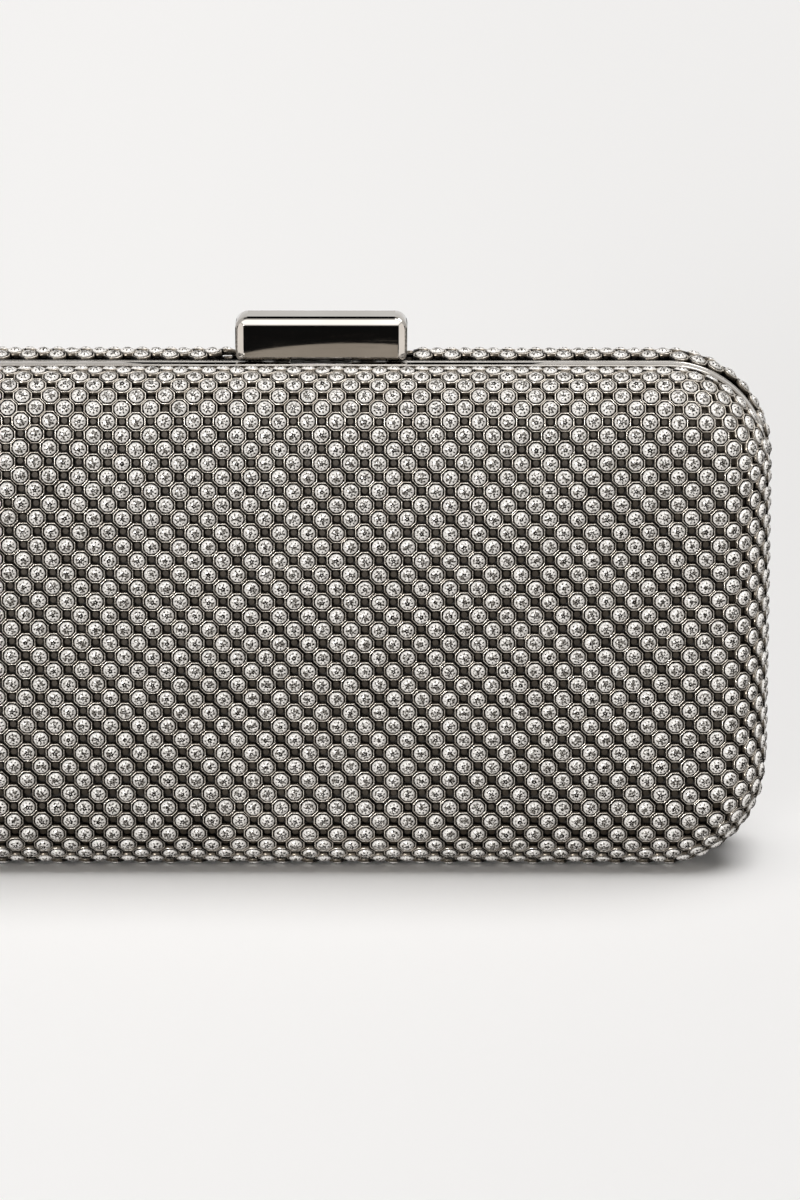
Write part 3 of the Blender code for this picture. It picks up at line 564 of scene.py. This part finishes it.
def set_out(name, pattern, stance, material, seeds=None, turns=0):
    """Copies one modelled piece to many places on the bag, in one mesh; given seeds, each copy gets its own
    spot of UV map.
    """
    data = pattern.data
    local = np.zeros(len(data.vertices) * 3)
    data.vertices.foreach_get("co", local)
    local = local.reshape(-1, 3)
    corners = np.zeros(len(data.loops), np.int32)
    data.loops.foreach_get("vertex_index", corners)
    starts = np.zeros(len(data.polygons), np.int32)
    data.polygons.foreach_get("loop_start", starts)
    place, along, up, out = stance
    count = len(place)
    points = place[:, None, :] + local[None, :, :1] * along[:, None, :]
    points += local[None, :, 1:2] * up[:, None, :] + local[None, :, 2:] * out[:, None, :]
    made = bpy.data.meshes.new(name)
    made.vertices.add(count * len(local))
    made.vertices.foreach_set("co", points.ravel())
    made.loops.add(count * len(corners))
    made.loops.foreach_set("vertex_index", (np.arange(count)[:, None] * len(local) + corners).ravel())
    made.polygons.add(count * len(starts))
    made.polygons.foreach_set("loop_start", (np.arange(count)[:, None] * len(corners) + starts).ravel())
    if seeds is not None:
        layer = made.uv_layers.new(name="cut")
        own = local[corners][None, :, :2] / GIRDLE_RADIUS
        turned = np.exp(1j * np.reshape(turns, (-1, 1))) * (own[:, :, 0] + 1j * own[:, :, 1])
        offset = CUT_SPACING * np.stack([seeds % CUTS_IN_ROW, seeds // CUTS_IN_ROW], axis=1)
        cut = np.stack([turned.real, turned.imag], axis=2) + offset[:, None, :]
        layer.data.foreach_set("uv", cut.ravel())
    made.update(calc_edges=True)
    made.validate()
    made.materials.append(material)
    piece = bpy.data.objects.new(name, made)
    bpy.context.collection.objects.link(piece)
    return piece


GLASS_LIGHT = (0.96, 0.93, 0.89, 1)
# Grey and near-black of the reflections painted into the stones.
GLASS_GREY = (0.33, 0.305, 0.27, 1)
GLASS_DARK = (0.018, 0.015, 0.013, 1)
CUT_SPACING = 4.0
CUTS_IN_ROW = 64


def on_each_one(place):
    """The UV map of the stones and cups, and how far across and up each one's own spot of it a point is."""
    own = place.node("UVMap", {"uv_map": "cut"})
    parts = own.node("SeparateXYZ", None, {0: own})
    across = parts.maths("WRAP", CUT_SPACING / 2, -CUT_SPACING / 2)
    upward = parts.output(1).maths("WRAP", CUT_SPACING / 2, -CUT_SPACING / 2)
    return own, across, upward


glass, shader, place = finish("cut_glass", GLASS_LIGHT, 0.12, 0.12, coat_weight=0.35, coat_roughness=0.03)
own, across, upward = on_each_one(place)
radius = (across * across + upward * upward) ** 0.5
half_cell = (CUT_SPACING / 2, CUT_SPACING / 2, 0)
cell = own.node("VectorMath", {"operation": "ADD"}, {0: own, 1: half_cell})
cell = cell.node("VectorMath", {"operation": "SNAP"}, {0: cell, 1: (CUT_SPACING, CUT_SPACING, 1)})
chance = cell.node("TexWhiteNoise", {"noise_dimensions": "2D"}, {"Vector": cell})
fine = own.node("TexNoise", {"noise_dimensions": "2D"}, {"Vector": own, "Scale": 2.6, "Detail": 2})
coarse = own.node("TexNoise", {"noise_dimensions": "2D"}, {"Vector": own, "Scale": 1.1, "Detail": 0})
# Painted reflections: the stones' spots, facet lines, star, dark centre and light centre dot are the facets'
# reflections painted into the colour, not marks in the glass.
turn = upward.maths("ARCTAN2", across) + chance * math.tau
# Painted shade: the spots are painted stronger on the side of each stone that faces away from the light.
lit_side = (upward * 0.5 - across * 0.85).between(-0.7, 0.6)
spots = (turn * 8).maths("COSINE").between(0.25, 0.75)
spot_ring = 1 - (radius - 0.62).maths("ABSOLUTE").between(0.07, 0.16)
facet_lines = (turn * 16).maths("COSINE").between(0.70, 0.95) * radius.between(0.68, 0.80)
star_ring = 1 - (radius - 0.30).maths("ABSOLUTE").between(0.05, 0.14)
star = (turn * 5).maths("COSINE").between(-0.2, 0.6) * star_ring
inner_disc = 1 - radius.between(0.62, 0.78)
broken_reflection = (fine * 0.8 + coarse * 0.4).between(0.56, 0.68)
culet = 1 - (radius + (coarse - 0.5) * 0.4).between(0.12, 0.24)
spark = 1 - radius.between(0.05, 0.11)
# Painted shade: a dark ring at the edge of each stone, for the shaded groove between stone and cup.
girdle = radius.between(0.93, 0.985)
tone = spot_ring * spots * (fine * 1.6 + 0.3) * (1.2 - lit_side * 0.8) + facet_lines * 0.3 + girdle
tone = tone + inner_disc * (broken_reflection * 0.5 + 0.06) + star * (chance * 0.6 + 0.25) + culet - spark
shaded = tone.between(0.08, 0.58).colours(GLASS_LIGHT, GLASS_GREY)
feed(shader, "Base Color", tone.between(0.40, 0.80).colours(shaded, GLASS_DARK))

CUP_LIGHT = (0.86, 0.80, 0.715, 1)
CUP_WORN = (0.58, 0.52, 0.45, 1)
# Painted shade: the cups' outer walls are painted dark and the grooves round the stones near-black.
CUP_WALL_SHADE = (0.120, 0.100, 0.077, 1)
GROOVE_SHADE = (0.012, 0.010, 0.008, 1)
cup_metal, shader, place = finish("cup_metal", CUP_LIGHT, 0.25, 0.65)
own, across, upward = on_each_one(place)
rising = (across + upward).maths("ABSOLUTE") * math.sqrt(0.5)
falling = (across - upward).maths("ABSOLUTE") * math.sqrt(0.5)
reach = across.maths("ABSOLUTE").maths("MAXIMUM", upward.maths("ABSOLUTE"))
reach = reach.maths("MAXIMUM", rising).maths("MAXIMUM", falling)
crest = grain(place, 260).between(0.3, 0.7).colours(CUP_WORN, CUP_LIGHT)
inner, outer = (CUP_RIM_REACH - CUP_RIM_WIDTH) / GIRDLE_RADIUS, CUP_RIM_REACH / GIRDLE_RADIUS
# Painted shade: near-black in the groove inside each rim and on the plate's flats on one diagonal, between
# neighbouring cups, and dark on the outer walls.
inside = reach.between(inner * 0.98, inner * 1.01).colours(GROOVE_SHADE, crest)
sides = reach.between(outer * 0.995, outer * 1.02).colours(inside, CUP_WALL_SHADE)
feed(shader, "Base Color", rising.between(outer * 0.955, outer * 0.985).colours(sides, GROOVE_SHADE))
feed(shader, "Roughness", grain(place, 2200).between(0.3, 0.7, 0.18, 0.34))

# The buttons' very dark brown is partly their dull metal and partly painted shade down the holes.
BUTTON_COLOUR = (0.052, 0.040, 0.027, 1)
BUTTON_DULL = (0.038, 0.029, 0.020, 1)
button_metal, shader, place = finish("button_metal", BUTTON_COLOUR, 0.42, 0.35)
feed(shader, "Base Color", grain(place, 700).between(0.3, 0.7).colours(BUTTON_DULL, BUTTON_COLOUR))

stone, cup, button = model_stone(), model_cup(), model_button()
bar_low, bar_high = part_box("clasp_bar")
BAR_ROOM = 0.0024
BAR_ROOM_BELOW = 0.006


def clear_of_bar(side, flat):
    """The back mesh is cut away round the clasp bar, which comes down to the rim."""
    if side == FRONT:
        return flat
    place = skin(side, flat)
    beside = np.abs(place[:, 0]) > bar_high.x + BAR_ROOM
    below = place[:, 2] < bar_low.z - BAR_ROOM_BELOW
    behind = place[:, 1] > bar_high.y + BAR_ROOM
    return flat[beside | below | behind]


def spun(stance, turns, amount):
    """Each stone turned in its cup, and tipped a hair."""
    place, along, up, out = stance
    turn = turns[:, None]
    tip = rng.normal(0, amount, (len(place), 2))
    out = unit(out + tip[:, :1] * along + tip[:, 1:] * up)
    along = unit(np.cos(turn) * along + np.sin(turn) * up)
    along = unit(along - (along * out).sum(axis=1)[:, None] * out)
    return place, along, np.cross(out, along), out


def stand_for(piece, body, node_name):
    """Lets a new piece ride a body in place of a CAD node."""
    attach(piece, body)
    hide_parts(node_name)


for side, word in ((FRONT, "front"), (BACK, "back")):
    flat = clear_of_bar(side, eased(side, thinned(side, mesh_sites(side, 0))))
    flat = flat + rng.normal(0, LAY_ERROR, flat.shape)
    place, along, up, out = stances(side, flat)
    if side == BACK:
        place = place + out * BACK_MESH_PROUD
    stance = place, along, up, out
    seeds = np.arange(len(flat))
    upper = flat[:, 1] > 0
    for part, chosen in (("upper", upper), ("lower", ~upper)):
        picked = tuple(values[chosen] for values in stance)
        cups = set_out(f"{word}_stone_cups_{part}", cup, picked, cup_metal, seeds[chosen])
        turns = rng.uniform(0, math.tau, len(picked[0]))
        tipped = spun(picked, turns, STONE_TIP)
        stones = set_out(f"{word}_stones_{part}", stone, tipped, glass, seeds[chosen], turns)
        for piece in (cups, stones):
            stand_for(piece, word, f"{word}_crystal_mesh")
    holes = clear_of_bar(side, mesh_sites(side, 1))
    buttons = set_out(f"{word}_link_buttons", button, stances(side, holes), button_metal)
    smooth(buttons, 35)
    stand_for(buttons, word, f"{word}_crystal_mesh")
for pattern in (stone, cup, button):
    bpy.data.objects.remove(pattern, do_unlink=True)

# Rims
# Each half is edged with a die-cast metal frame, ground, polished and plated dark. It is a channel that grips
# the board and the mesh, and the two frames meet at the seam round the whole bag.
RIM_LIP = 0.0010
RIM_INNER_LIP = 0.0008
RIM_WEB = 0.0008
RIM_EDGE_ROUND = 0.00030
RIM_OUTER_REACH = 0.0030
RIM_INNER_REACH = 0.0040
RIM_WIDTH_IN = {FRONT: 0.0042, BACK: 0.0033}
HINGE_BARREL_REACH = 0.00125
HINGE_BARREL_TOP = 0.00245
HINGE_LEAF_REACH = 0.005
HINGE_LEAF_TOP = 0.0019
NOTCH_FIT = 0.0003
NOTCH_OVERRUN = 0.002
POCKET_WALL_FIT = 0.0001
POCKET_TOP = 0.12
PICK_FIT = 1e-5
GUNMETAL_COLOUR = (0.46, 0.435, 0.405, 1)
GUNMETAL_DEEP = (0.41, 0.385, 0.355, 1)

gunmetal, shader, place = finish("polished_gunmetal", GUNMETAL_COLOUR, 0.06, 1)
cloud = grain(place, 60, 3)
feed(shader, "Base Color", cloud.between(0.35, 0.65).colours(GUNMETAL_DEEP, GUNMETAL_COLOUR))
hairlines = grain(stretched(place, (120, 2600, 2600)), 1, 3)
feed(shader, "Roughness", hairlines.between(0.45, 0.75, 0.012, 0.03))


def model_rim(side, low, high):
    """One rim: a flat ring at the seam, with an outer lip over the mesh's edge and a deeper inner lip."""
    fresh()
    middle = (low + high) / 2
    corner = CORNER_RADIUS - (cad_box[1].x - high.x)
    seam_y = low.y if side == BACK else high.y
    depth = RIM_WEB * side
    bpy.ops.mesh.primitive_plane_add(size=1, location=(0, seam_y, middle.z), rotation=(math.pi / 2, 0, 0))
    rim = bpy.context.object
    rim.scale = (high.x - low.x, high.z - low.z, 1)
    set_in_place()
    bpy.ops.object.mode_set(mode="EDIT")
    bpy.ops.mesh.select_all(action="SELECT")
    bpy.ops.mesh.bevel(offset=corner, segments=28, affect="VERTICES")
    bpy.ops.mesh.inset(thickness=RIM_LIP)
    bpy.ops.mesh.inset(thickness=RIM_WIDTH_IN[side] - RIM_LIP - RIM_INNER_LIP)
    bpy.ops.mesh.inset(thickness=RIM_INNER_LIP)
    bpy.ops.mesh.delete(type="FACE")
    bpy.ops.mesh.select_all(action="SELECT")
    bpy.ops.mesh.extrude_region_move(TRANSFORM_OT_translate={"value": (0, depth, 0)})

    def far_band(face):
        """How far in from the outline a face on the far side of the ring is, or None for another face."""
        place = middle_of(face)
        if face.normal.y * side < SQUARE_ON or abs(place.y - (seam_y + depth)) > PICK_FIT:
            return None
        out_x = max(abs(place.x) - (high.x - corner), 0)
        out_z = max(abs(place.z - middle.z) - ((high.z - low.z) / 2 - corner), 0)
        return corner - math.hypot(out_x, out_z)

    def on_outer_lip(face):
        band = far_band(face)
        return band is not None and band < RIM_LIP

    def on_inner_lip(face):
        band = far_band(face)
        return band is not None and band > RIM_WIDTH_IN[side] - RIM_INNER_LIP

    for wanted, reach in ((on_outer_lip, RIM_OUTER_REACH), (on_inner_lip, RIM_INNER_REACH)):
        select("FACE", wanted)
        way = (0, side * reach - seam_y - depth, 0)
        bpy.ops.mesh.extrude_region_move(TRANSFORM_OT_translate={"value": way})
    bpy.ops.mesh.select_all(action="SELECT")
    bpy.ops.mesh.normals_make_consistent(inside=False)
    bpy.ops.mesh.select_all(action="DESELECT")
    bpy.ops.mesh.select_mode(type="EDGE")
    bpy.ops.mesh.edges_select_sharp(sharpness=math.radians(60))
    bpy.ops.mesh.bevel(offset=RIM_EDGE_ROUND, segments=3)
    fresh()
    return rim


def shape_with(target, tool, operation):
    """Cuts or trims a piece with a Boolean modifier, and removes the tool."""
    fresh()
    bpy.context.view_layer.objects.active = target
    modifier = target.modifiers.new("shaping", "BOOLEAN")
    modifier.operation = operation
    modifier.solver = "EXACT"
    modifier.object = tool
    bpy.ops.object.modifier_apply(modifier="shaping")
    bpy.data.objects.remove(tool, do_unlink=True)


def cut_boxes(target, boxes):
    """Cuts rectangular notches, one after another."""
    for low, high in boxes:
        fresh()
        bpy.ops.mesh.primitive_cube_add(size=1, location=(Vector(low) + Vector(high)) / 2)
        cutter = bpy.context.object
        cutter.scale = Vector(high) - Vector(low)
        set_in_place()
        shape_with(target, cutter, "DIFFERENCE")


def rim_notches(side, word):
    """The notches for the hinges, and in the front rim the pocket for the clasp striker."""
    notches = []
    for hinge in ("left", "right"):
        leaf_low, leaf_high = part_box(f"hinge_{hinge}_{word}_leaf")
        for reach, top in ((HINGE_BARREL_REACH, HINGE_BARREL_TOP), (HINGE_LEAF_REACH, HINGE_LEAF_TOP)):
            low = leaf_low.x - NOTCH_FIT, min(0, side * reach), -NOTCH_OVERRUN
            notches.append((low, (leaf_high.x + NOTCH_FIT, max(0, side * reach), top)))
    if side == FRONT:
        pad_low, pad_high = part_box("clasp_striker")
        low = pad_low.x - NOTCH_FIT, pad_low.y - POCKET_WALL_FIT, pad_low.z - NOTCH_FIT
        notches.append((low, (pad_high.x + NOTCH_FIT, NOTCH_OVERRUN, POCKET_TOP)))
    return notches


for side, word in ((FRONT, "front"), (BACK, "back")):
    rim = model_rim(side, *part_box(f"{word}_rim"))
    rim.name = f"{word}_rim_frame"
    cut_boxes(rim, rim_notches(side, word))
    smooth(rim, 35)
    coat(rim, gunmetal)
    stand_for(rim, word, f"{word}_rim")

# Linings
# Trays of thin card covered in dark satin, pressed into each half and tucked under the rim's inner lip. The
# cloth is pulled round the corners, where it puckers a little.
SATIN_COLOUR = (0.075, 0.066, 0.060, 1)
SATIN_LIGHT = (0.115, 0.103, 0.094, 1)
satin, shader, place = finish("lining_satin", SATIN_COLOUR, 0.42, sheen_weight=0.4, sheen_roughness=0.35)
weft = grain(stretched(place, (900, 900, 9000)), 1, 1)
warp = grain(stretched(place, (9000, 900, 700)), 1, 1)
feed(shader, "Base Color", (weft * 0.6 + warp * 0.4).between(0.35, 0.65).colours(SATIN_COLOUR, SATIN_LIGHT))
feed(shader, "Roughness", weft.between(0.35, 0.65, 0.34, 0.52))
folds = grain(stretched(place, (60, 60, 60)), 1, 2)
feed(shader, "Normal", relief(weft * 0.15 + warp * 0.15 + folds, 0.35, 0.0006))

for word in ("front", "back"):
    fresh()
    lining = nodes[f"{word}_lining"].copy()
    lining.data = nodes[f"{word}_lining"].data.copy()
    lining.name = f"{word}_lining_cloth"
    lining.parent = None
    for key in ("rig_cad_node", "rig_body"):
        del lining[key]
    bpy.context.collection.objects.link(lining)
    lining.select_set(True)
    bpy.context.view_layer.objects.active = lining
    bpy.ops.object.mode_set(mode="EDIT")
    bpy.ops.mesh.select_all(action="SELECT")
    bpy.ops.mesh.remove_doubles(threshold=1e-5)
    bpy.ops.mesh.tris_convert_to_quads(face_threshold=math.radians(40), shape_threshold=math.radians(60))
    fresh()
    rounding = lining.modifiers.new("rounding", "SUBSURF")
    rounding.levels = rounding.render_levels = 2
    bpy.ops.object.modifier_apply(modifier="rounding")
    smooth(lining, 50)
    coat(lining, satin)
    stand_for(lining, word, f"{word}_lining")

# Hinges
# Two small hinges let into the bottom of the rims: plated leaves with rolled knuckles on steel pins, each
# leaf held by two steel rivets whose heads are closed on the rim's inner lip.
STEEL_COLOUR = (0.46, 0.45, 0.44, 1)
STEEL_DULL = (0.37, 0.36, 0.35, 1)
steel, shader, place = finish("spring_steel", STEEL_COLOUR, 0.28, 1)
feed(shader, "Roughness", grain(stretched(place, (300, 4000, 4000)), 1).between(0.35, 0.7, 0.2, 0.42))
feed(shader, "Base Color", grain(place, 500).between(0.35, 0.7).colours(STEEL_COLOUR, STEEL_DULL))
hinge_nodes = [name for name in nodes if name.startswith("hinge_")]
refinish([name for name in hinge_nodes if name.endswith("_leaf")], gunmetal)
refinish([name for name in hinge_nodes if not name.endswith("_leaf")], steel)

# Clasp
# A hollow bar, cast, ground to broad flats and polished to a mirror, with a bent steel lever soldered inside.
# It tips back on a pin in the bracket riveted to the back rim, and a spring of hard wire brings it back.
BAR_CHAMFER = {"upper": 0.00146, "lower": 0.00080}
BAR_SIDE_CHAMFER = 0.00174
BAR_CHAMFER_DEPTH = 0.00084
BAR_CORNER = {"upper": 0.0024, "lower": 0.0014}
BAR_BACK_ROUND = 0.0012
BAR_EDGE_ROUND = 0.00010
BAR_RING_ROUND = 0.00056
BAR_FLAT_AREA = 4e-6
BAR_WALL = 0.0010
MITRE_NORMAL = 0.5
END_NORMAL = 0.05
clasp_steel = ("clasp_lever", "clasp_bracket", "clasp_pin", "clasp_striker", "clasp_spring")
refinish(clasp_steel, steel)
clasp_rivets = [name for name in nodes if name.startswith(("bracket_rivet", "striker_rivet"))]
refinish(clasp_rivets, steel)

bar_middle = (bar_low + bar_high) / 2
ring_y = bar_low.y + BAR_CHAMFER_DEPTH


def bar_block(low_y):
    """A plain block of the bar's length and height, from a depth back to the bar's back, in edit mode."""
    fresh()
    bpy.ops.mesh.primitive_cube_add(size=1, location=(bar_middle.x, (low_y + bar_high.y) / 2, bar_middle.z))
    block = bpy.context.object
    block.scale = (bar_high.x - bar_low.x, bar_high.y - low_y, bar_high.z - bar_low.z)
    set_in_place()
    bpy.ops.object.mode_set(mode="EDIT")
    return block


def is_in(half, edge):
    return (middle_of(edge).z > bar_middle.z) == (half == "upper")


def runs_back(edge):
    return abs(edge.verts[0].co.y - edge.verts[1].co.y) > BAR_WALL


def runs_along_panel(edge):
    """True for the front panel's upper and lower edges."""
    in_front = max(vertex.co.y for vertex in edge.verts) < bar_low.y + BAR_EDGE_ROUND
    return in_front and abs(edge.verts[0].co.z - edge.verts[1].co.z) < BAR_EDGE_ROUND


def is_on_ring(edge):
    """True for the edges where the mitred flats meet the bar's top, foot and ends."""
    turned = sorted(abs(face.normal.y) for face in edge.link_faces)
    in_front = middle_of(edge).y < ring_y + BAR_EDGE_ROUND
    return in_front and turned[-1] > MITRE_NORMAL and turned[0] < END_NORMAL


rounded_block = bar_block(bar_low.y)
for half, radius in BAR_CORNER.items():
    select("EDGE", lambda edge: runs_back(edge) and is_in(half, edge))
    bpy.ops.mesh.bevel(offset=radius, segments=7)
bar = bar_block(ring_y)
bar.name = "clasp_bar_cover"
select("FACE", lambda face: face.normal.y < -SQUARE_ON)
bpy.ops.mesh.inset(thickness=BAR_SIDE_CHAMFER, depth=BAR_CHAMFER_DEPTH)
for half, chamfer in BAR_CHAMFER.items():
    select("EDGE", lambda edge: runs_along_panel(edge) and is_in(half, edge))
    rise = BAR_SIDE_CHAMFER - chamfer
    bpy.ops.transform.translate(value=(0, 0, rise if half == "upper" else -rise))
select("FACE", lambda face: face.normal.z < -SQUARE_ON)
bpy.ops.mesh.inset(thickness=BAR_WALL)
hollow = (0, 0, bar_high.z - bar_low.z - BAR_WALL)
bpy.ops.mesh.extrude_region_move(TRANSFORM_OT_translate={"value": hollow})
shape_with(bar, rounded_block, "INTERSECT")
bar.select_set(True)
bpy.ops.object.mode_set(mode="EDIT")
bpy.ops.mesh.select_all(action="SELECT")
bpy.ops.mesh.remove_doubles(threshold=1e-6)
bpy.ops.mesh.dissolve_limited(angle_limit=math.radians(0.5))
select("FACE", lambda face: middle_of(face).y > bar_high.y - BAR_EDGE_ROUND)
bpy.ops.mesh.region_to_loop()
bpy.ops.mesh.bevel(offset=BAR_BACK_ROUND, segments=4)
bpy.ops.mesh.select_all(action="SELECT")
bpy.ops.mesh.normals_make_consistent(inside=False)
select("EDGE", is_on_ring)
bpy.ops.mesh.bevel(offset=BAR_RING_ROUND, segments=4)
bpy.ops.mesh.select_all(action="DESELECT")
bpy.ops.mesh.select_mode(type="EDGE")
bpy.ops.mesh.edges_select_sharp(sharpness=math.radians(25))
bpy.ops.mesh.bevel(offset=BAR_EDGE_ROUND, segments=2)
smooth(bar, 25)
bpy.ops.object.mode_set(mode="EDIT")
select("FACE", lambda face: face.calc_area() > BAR_FLAT_AREA)
bpy.ops.mesh.faces_shade_flat()
fresh()
coat(bar, gunmetal)
stand_for(bar, "clasp", "clasp_bar")

# Studio
# A pale seamless floor under plain soft light, from above and from low in front, and the camera at the height
# and distance that the picture was taken from. The floor opens where the front half swings down through it.
FLOOR_SIZE = 40
FLOOR_COLOUR = (0.50, 0.49, 0.48, 1)
FLOOR_AS_SEEN = (0.957, 0.945, 0.934, 1)
FLOOR_SHADED_RIGHT = (0.922, 0.911, 0.902, 1)
FLOOR_TURNS_WITHIN = 0.10
WINDOW_DEPTH = 0.06
WINDOW_OPEN_BELOW = 0.4
WINDOW_SHUT_ABOVE = 0.7
SKY_COLOUR = (1.0, 0.985, 0.965, 1)
SKY_LEVEL = 0.13
BACKDROP_LEVEL = 0.89
KEY_LEVEL = 2.45
FILL_LEVEL = 3.9
BLACK = (0, 0, 0, 1)
CARD_BLACK = (0.01, 0.01, 0.01, 1)
CARD_GREY = (0.56, 0.505, 0.44, 1)
CARD_PALE = (1.55, 1.5, 1.45, 1)
CARD_BRIGHT = (2.6, 2.6, 2.6, 1)
FLAT = (0, 0, 0)
UPRIGHT = (math.pi / 2, 0, 0)
CAMERA_PLACE = Vector((0.02065, -1.200, 0.37922))
CAMERA_AIM = Vector((0.01557, 0, 0.05310))
HALF_PICTURE_PIXELS = 600
LENS_PIXELS = 6218.76
SENSOR_MILLIMETRES = 36


def seen_directly(light):
    """1 for rays from the camera, and for those mirrored or let through by a piece."""
    return (light.output(0) + light.output(3) + light.output(6)).between(0, 1)


fresh()
bpy.ops.mesh.primitive_plane_add(size=FLOOR_SIZE, location=(0, 0, 0))
floor = bpy.context.object
floor.name = "studio_floor"
floor_paint, shader, place = finish("studio_floor", FLOOR_COLOUR, 0.9, specular_ior_level=0)
seen = seen_directly(place.node("LightPath"))
# Painted shade: the floor as seen is painted a little darker towards the right, for light falling off.
sideways = place.node("SeparateXYZ", None, {0: place}).between(-FLOOR_TURNS_WITHIN, FLOOR_TURNS_WITHIN)
feed(shader, "Base Color", seen.colours(FLOOR_COLOUR, sideways.colours(FLOOR_AS_SEEN, FLOOR_SHADED_RIGHT)))
below = place.node("AmbientOcclusion", {"inside": True, "samples": 4}, {"Distance": WINDOW_DEPTH}, 1)
from_below = place.node("NewGeometry", output=6)
feed(shader, "Alpha", below.between(WINDOW_OPEN_BELOW, WINDOW_SHUT_ABOVE) * (1 - from_below))
coat(floor, floor_paint)

world = bpy.data.worlds.new("studio")
bpy.context.scene.world = world
world.use_nodes = True
sky = world.node_tree.nodes["Background"]
sky.inputs["Color"].default_value = SKY_COLOUR
seen = seen_directly(Shade(world.node_tree).node("LightPath"))
world.node_tree.links.new(seen.between(0, 1, SKY_LEVEL, BACKDROP_LEVEL).socket, sky.inputs["Strength"])


def soft_lamp(name, level, angle, comes_from):
    """A large soft lamp far away, given by the way that its light comes from."""
    lamp = bpy.data.lights.new(name, "SUN")
    lamp.energy = level
    lamp.angle = math.radians(angle)
    lamp_object = bpy.data.objects.new(name, lamp)
    lamp_object.rotation_euler = Vector(comes_from).to_track_quat("Z", "Y").to_euler()
    bpy.context.collection.objects.link(lamp_object)


soft_lamp("overhead_lamp", KEY_LEVEL, 40, (0.22, 0.01, 1))
soft_lamp("front_lamp", FILL_LEVEL, 20, (-0.38, -1, 0.012))


def mirror_card(name, middle, size, turn, colour, corner=0):
    """A studio card out of the picture that lights nothing and casts no shadow, which only polished surfaces
    see: a painted reflection.
    """
    fresh()
    bpy.ops.mesh.primitive_plane_add(size=1, location=middle, rotation=turn)
    card = bpy.context.object
    card.name = name
    card.scale = (*size, 1)
    set_in_place()
    if corner:
        bpy.ops.object.mode_set(mode="EDIT")
        bpy.ops.mesh.select_all(action="SELECT")
        bpy.ops.mesh.bevel(offset=corner, segments=16, affect="VERTICES")
        fresh()
    glow = {"emission_color": colour, "emission_strength": 1}
    coat(card, finish(name, BLACK, 0.5, specular_ior_level=0, **glow)[0])
    card.visible_camera = False
    card.visible_diffuse = False
    card.visible_transmission = False
    card.visible_shadow = False


# Painted reflections: the pale and bright cards glow without lighting anything, the black ones paint dark
# into what polished surfaces mirror, and the grey one paints a shaded floor in front.
mirror_card("dark_room", (0, -1.72, 0.002), (3.0, 3.32), FLAT, CARD_BLACK)
mirror_card("grey_shade_reflection", (0.001, -0.4095, 0.004), (0.082, 0.082), FLAT, CARD_GREY, 0.0409)
mirror_card("left_pale_glow", (-0.42, -0.24, 0.004), (0.16, 0.16), FLAT, CARD_PALE)
mirror_card("right_pale_glow", (0.42, -0.24, 0.004), (0.16, 0.16), FLAT, CARD_PALE)
mirror_card("high_panel", (0, -1.25, 1.35), (0.8, 0.5), (math.radians(45), 0, 0), CARD_BRIGHT)
mirror_card("black_flag", (-0.02, 1.5, 1.45), (0.20, 1.9), UPRIGHT, CARD_BLACK)
mirror_card("overhead_flag", (-0.03, 0.58, 2.4), (1.2, 1.85), FLAT, CARD_BLACK)
mirror_card("left_flag", (-0.32, 0.225, 0.003), (0.60, 0.75), FLAT, CARD_BLACK)
mirror_card("right_flag", (0.32, 0.225, 0.003), (0.60, 0.75), FLAT, CARD_BLACK)

camera = bpy.data.objects.new("camera", bpy.data.cameras.new("camera"))
bpy.context.collection.objects.link(camera)
camera.location = CAMERA_PLACE
camera.rotation_euler = (CAMERA_AIM - CAMERA_PLACE).to_track_quat("-Z", "Y").to_euler()
camera.data.sensor_width = SENSOR_MILLIMETRES
camera.data.lens = SENSOR_MILLIMETRES / 2 * LENS_PIXELS / HALF_PICTURE_PIXELS
bpy.context.scene.camera = camera
bpy.context.scene.view_settings.view_transform = "Standard"
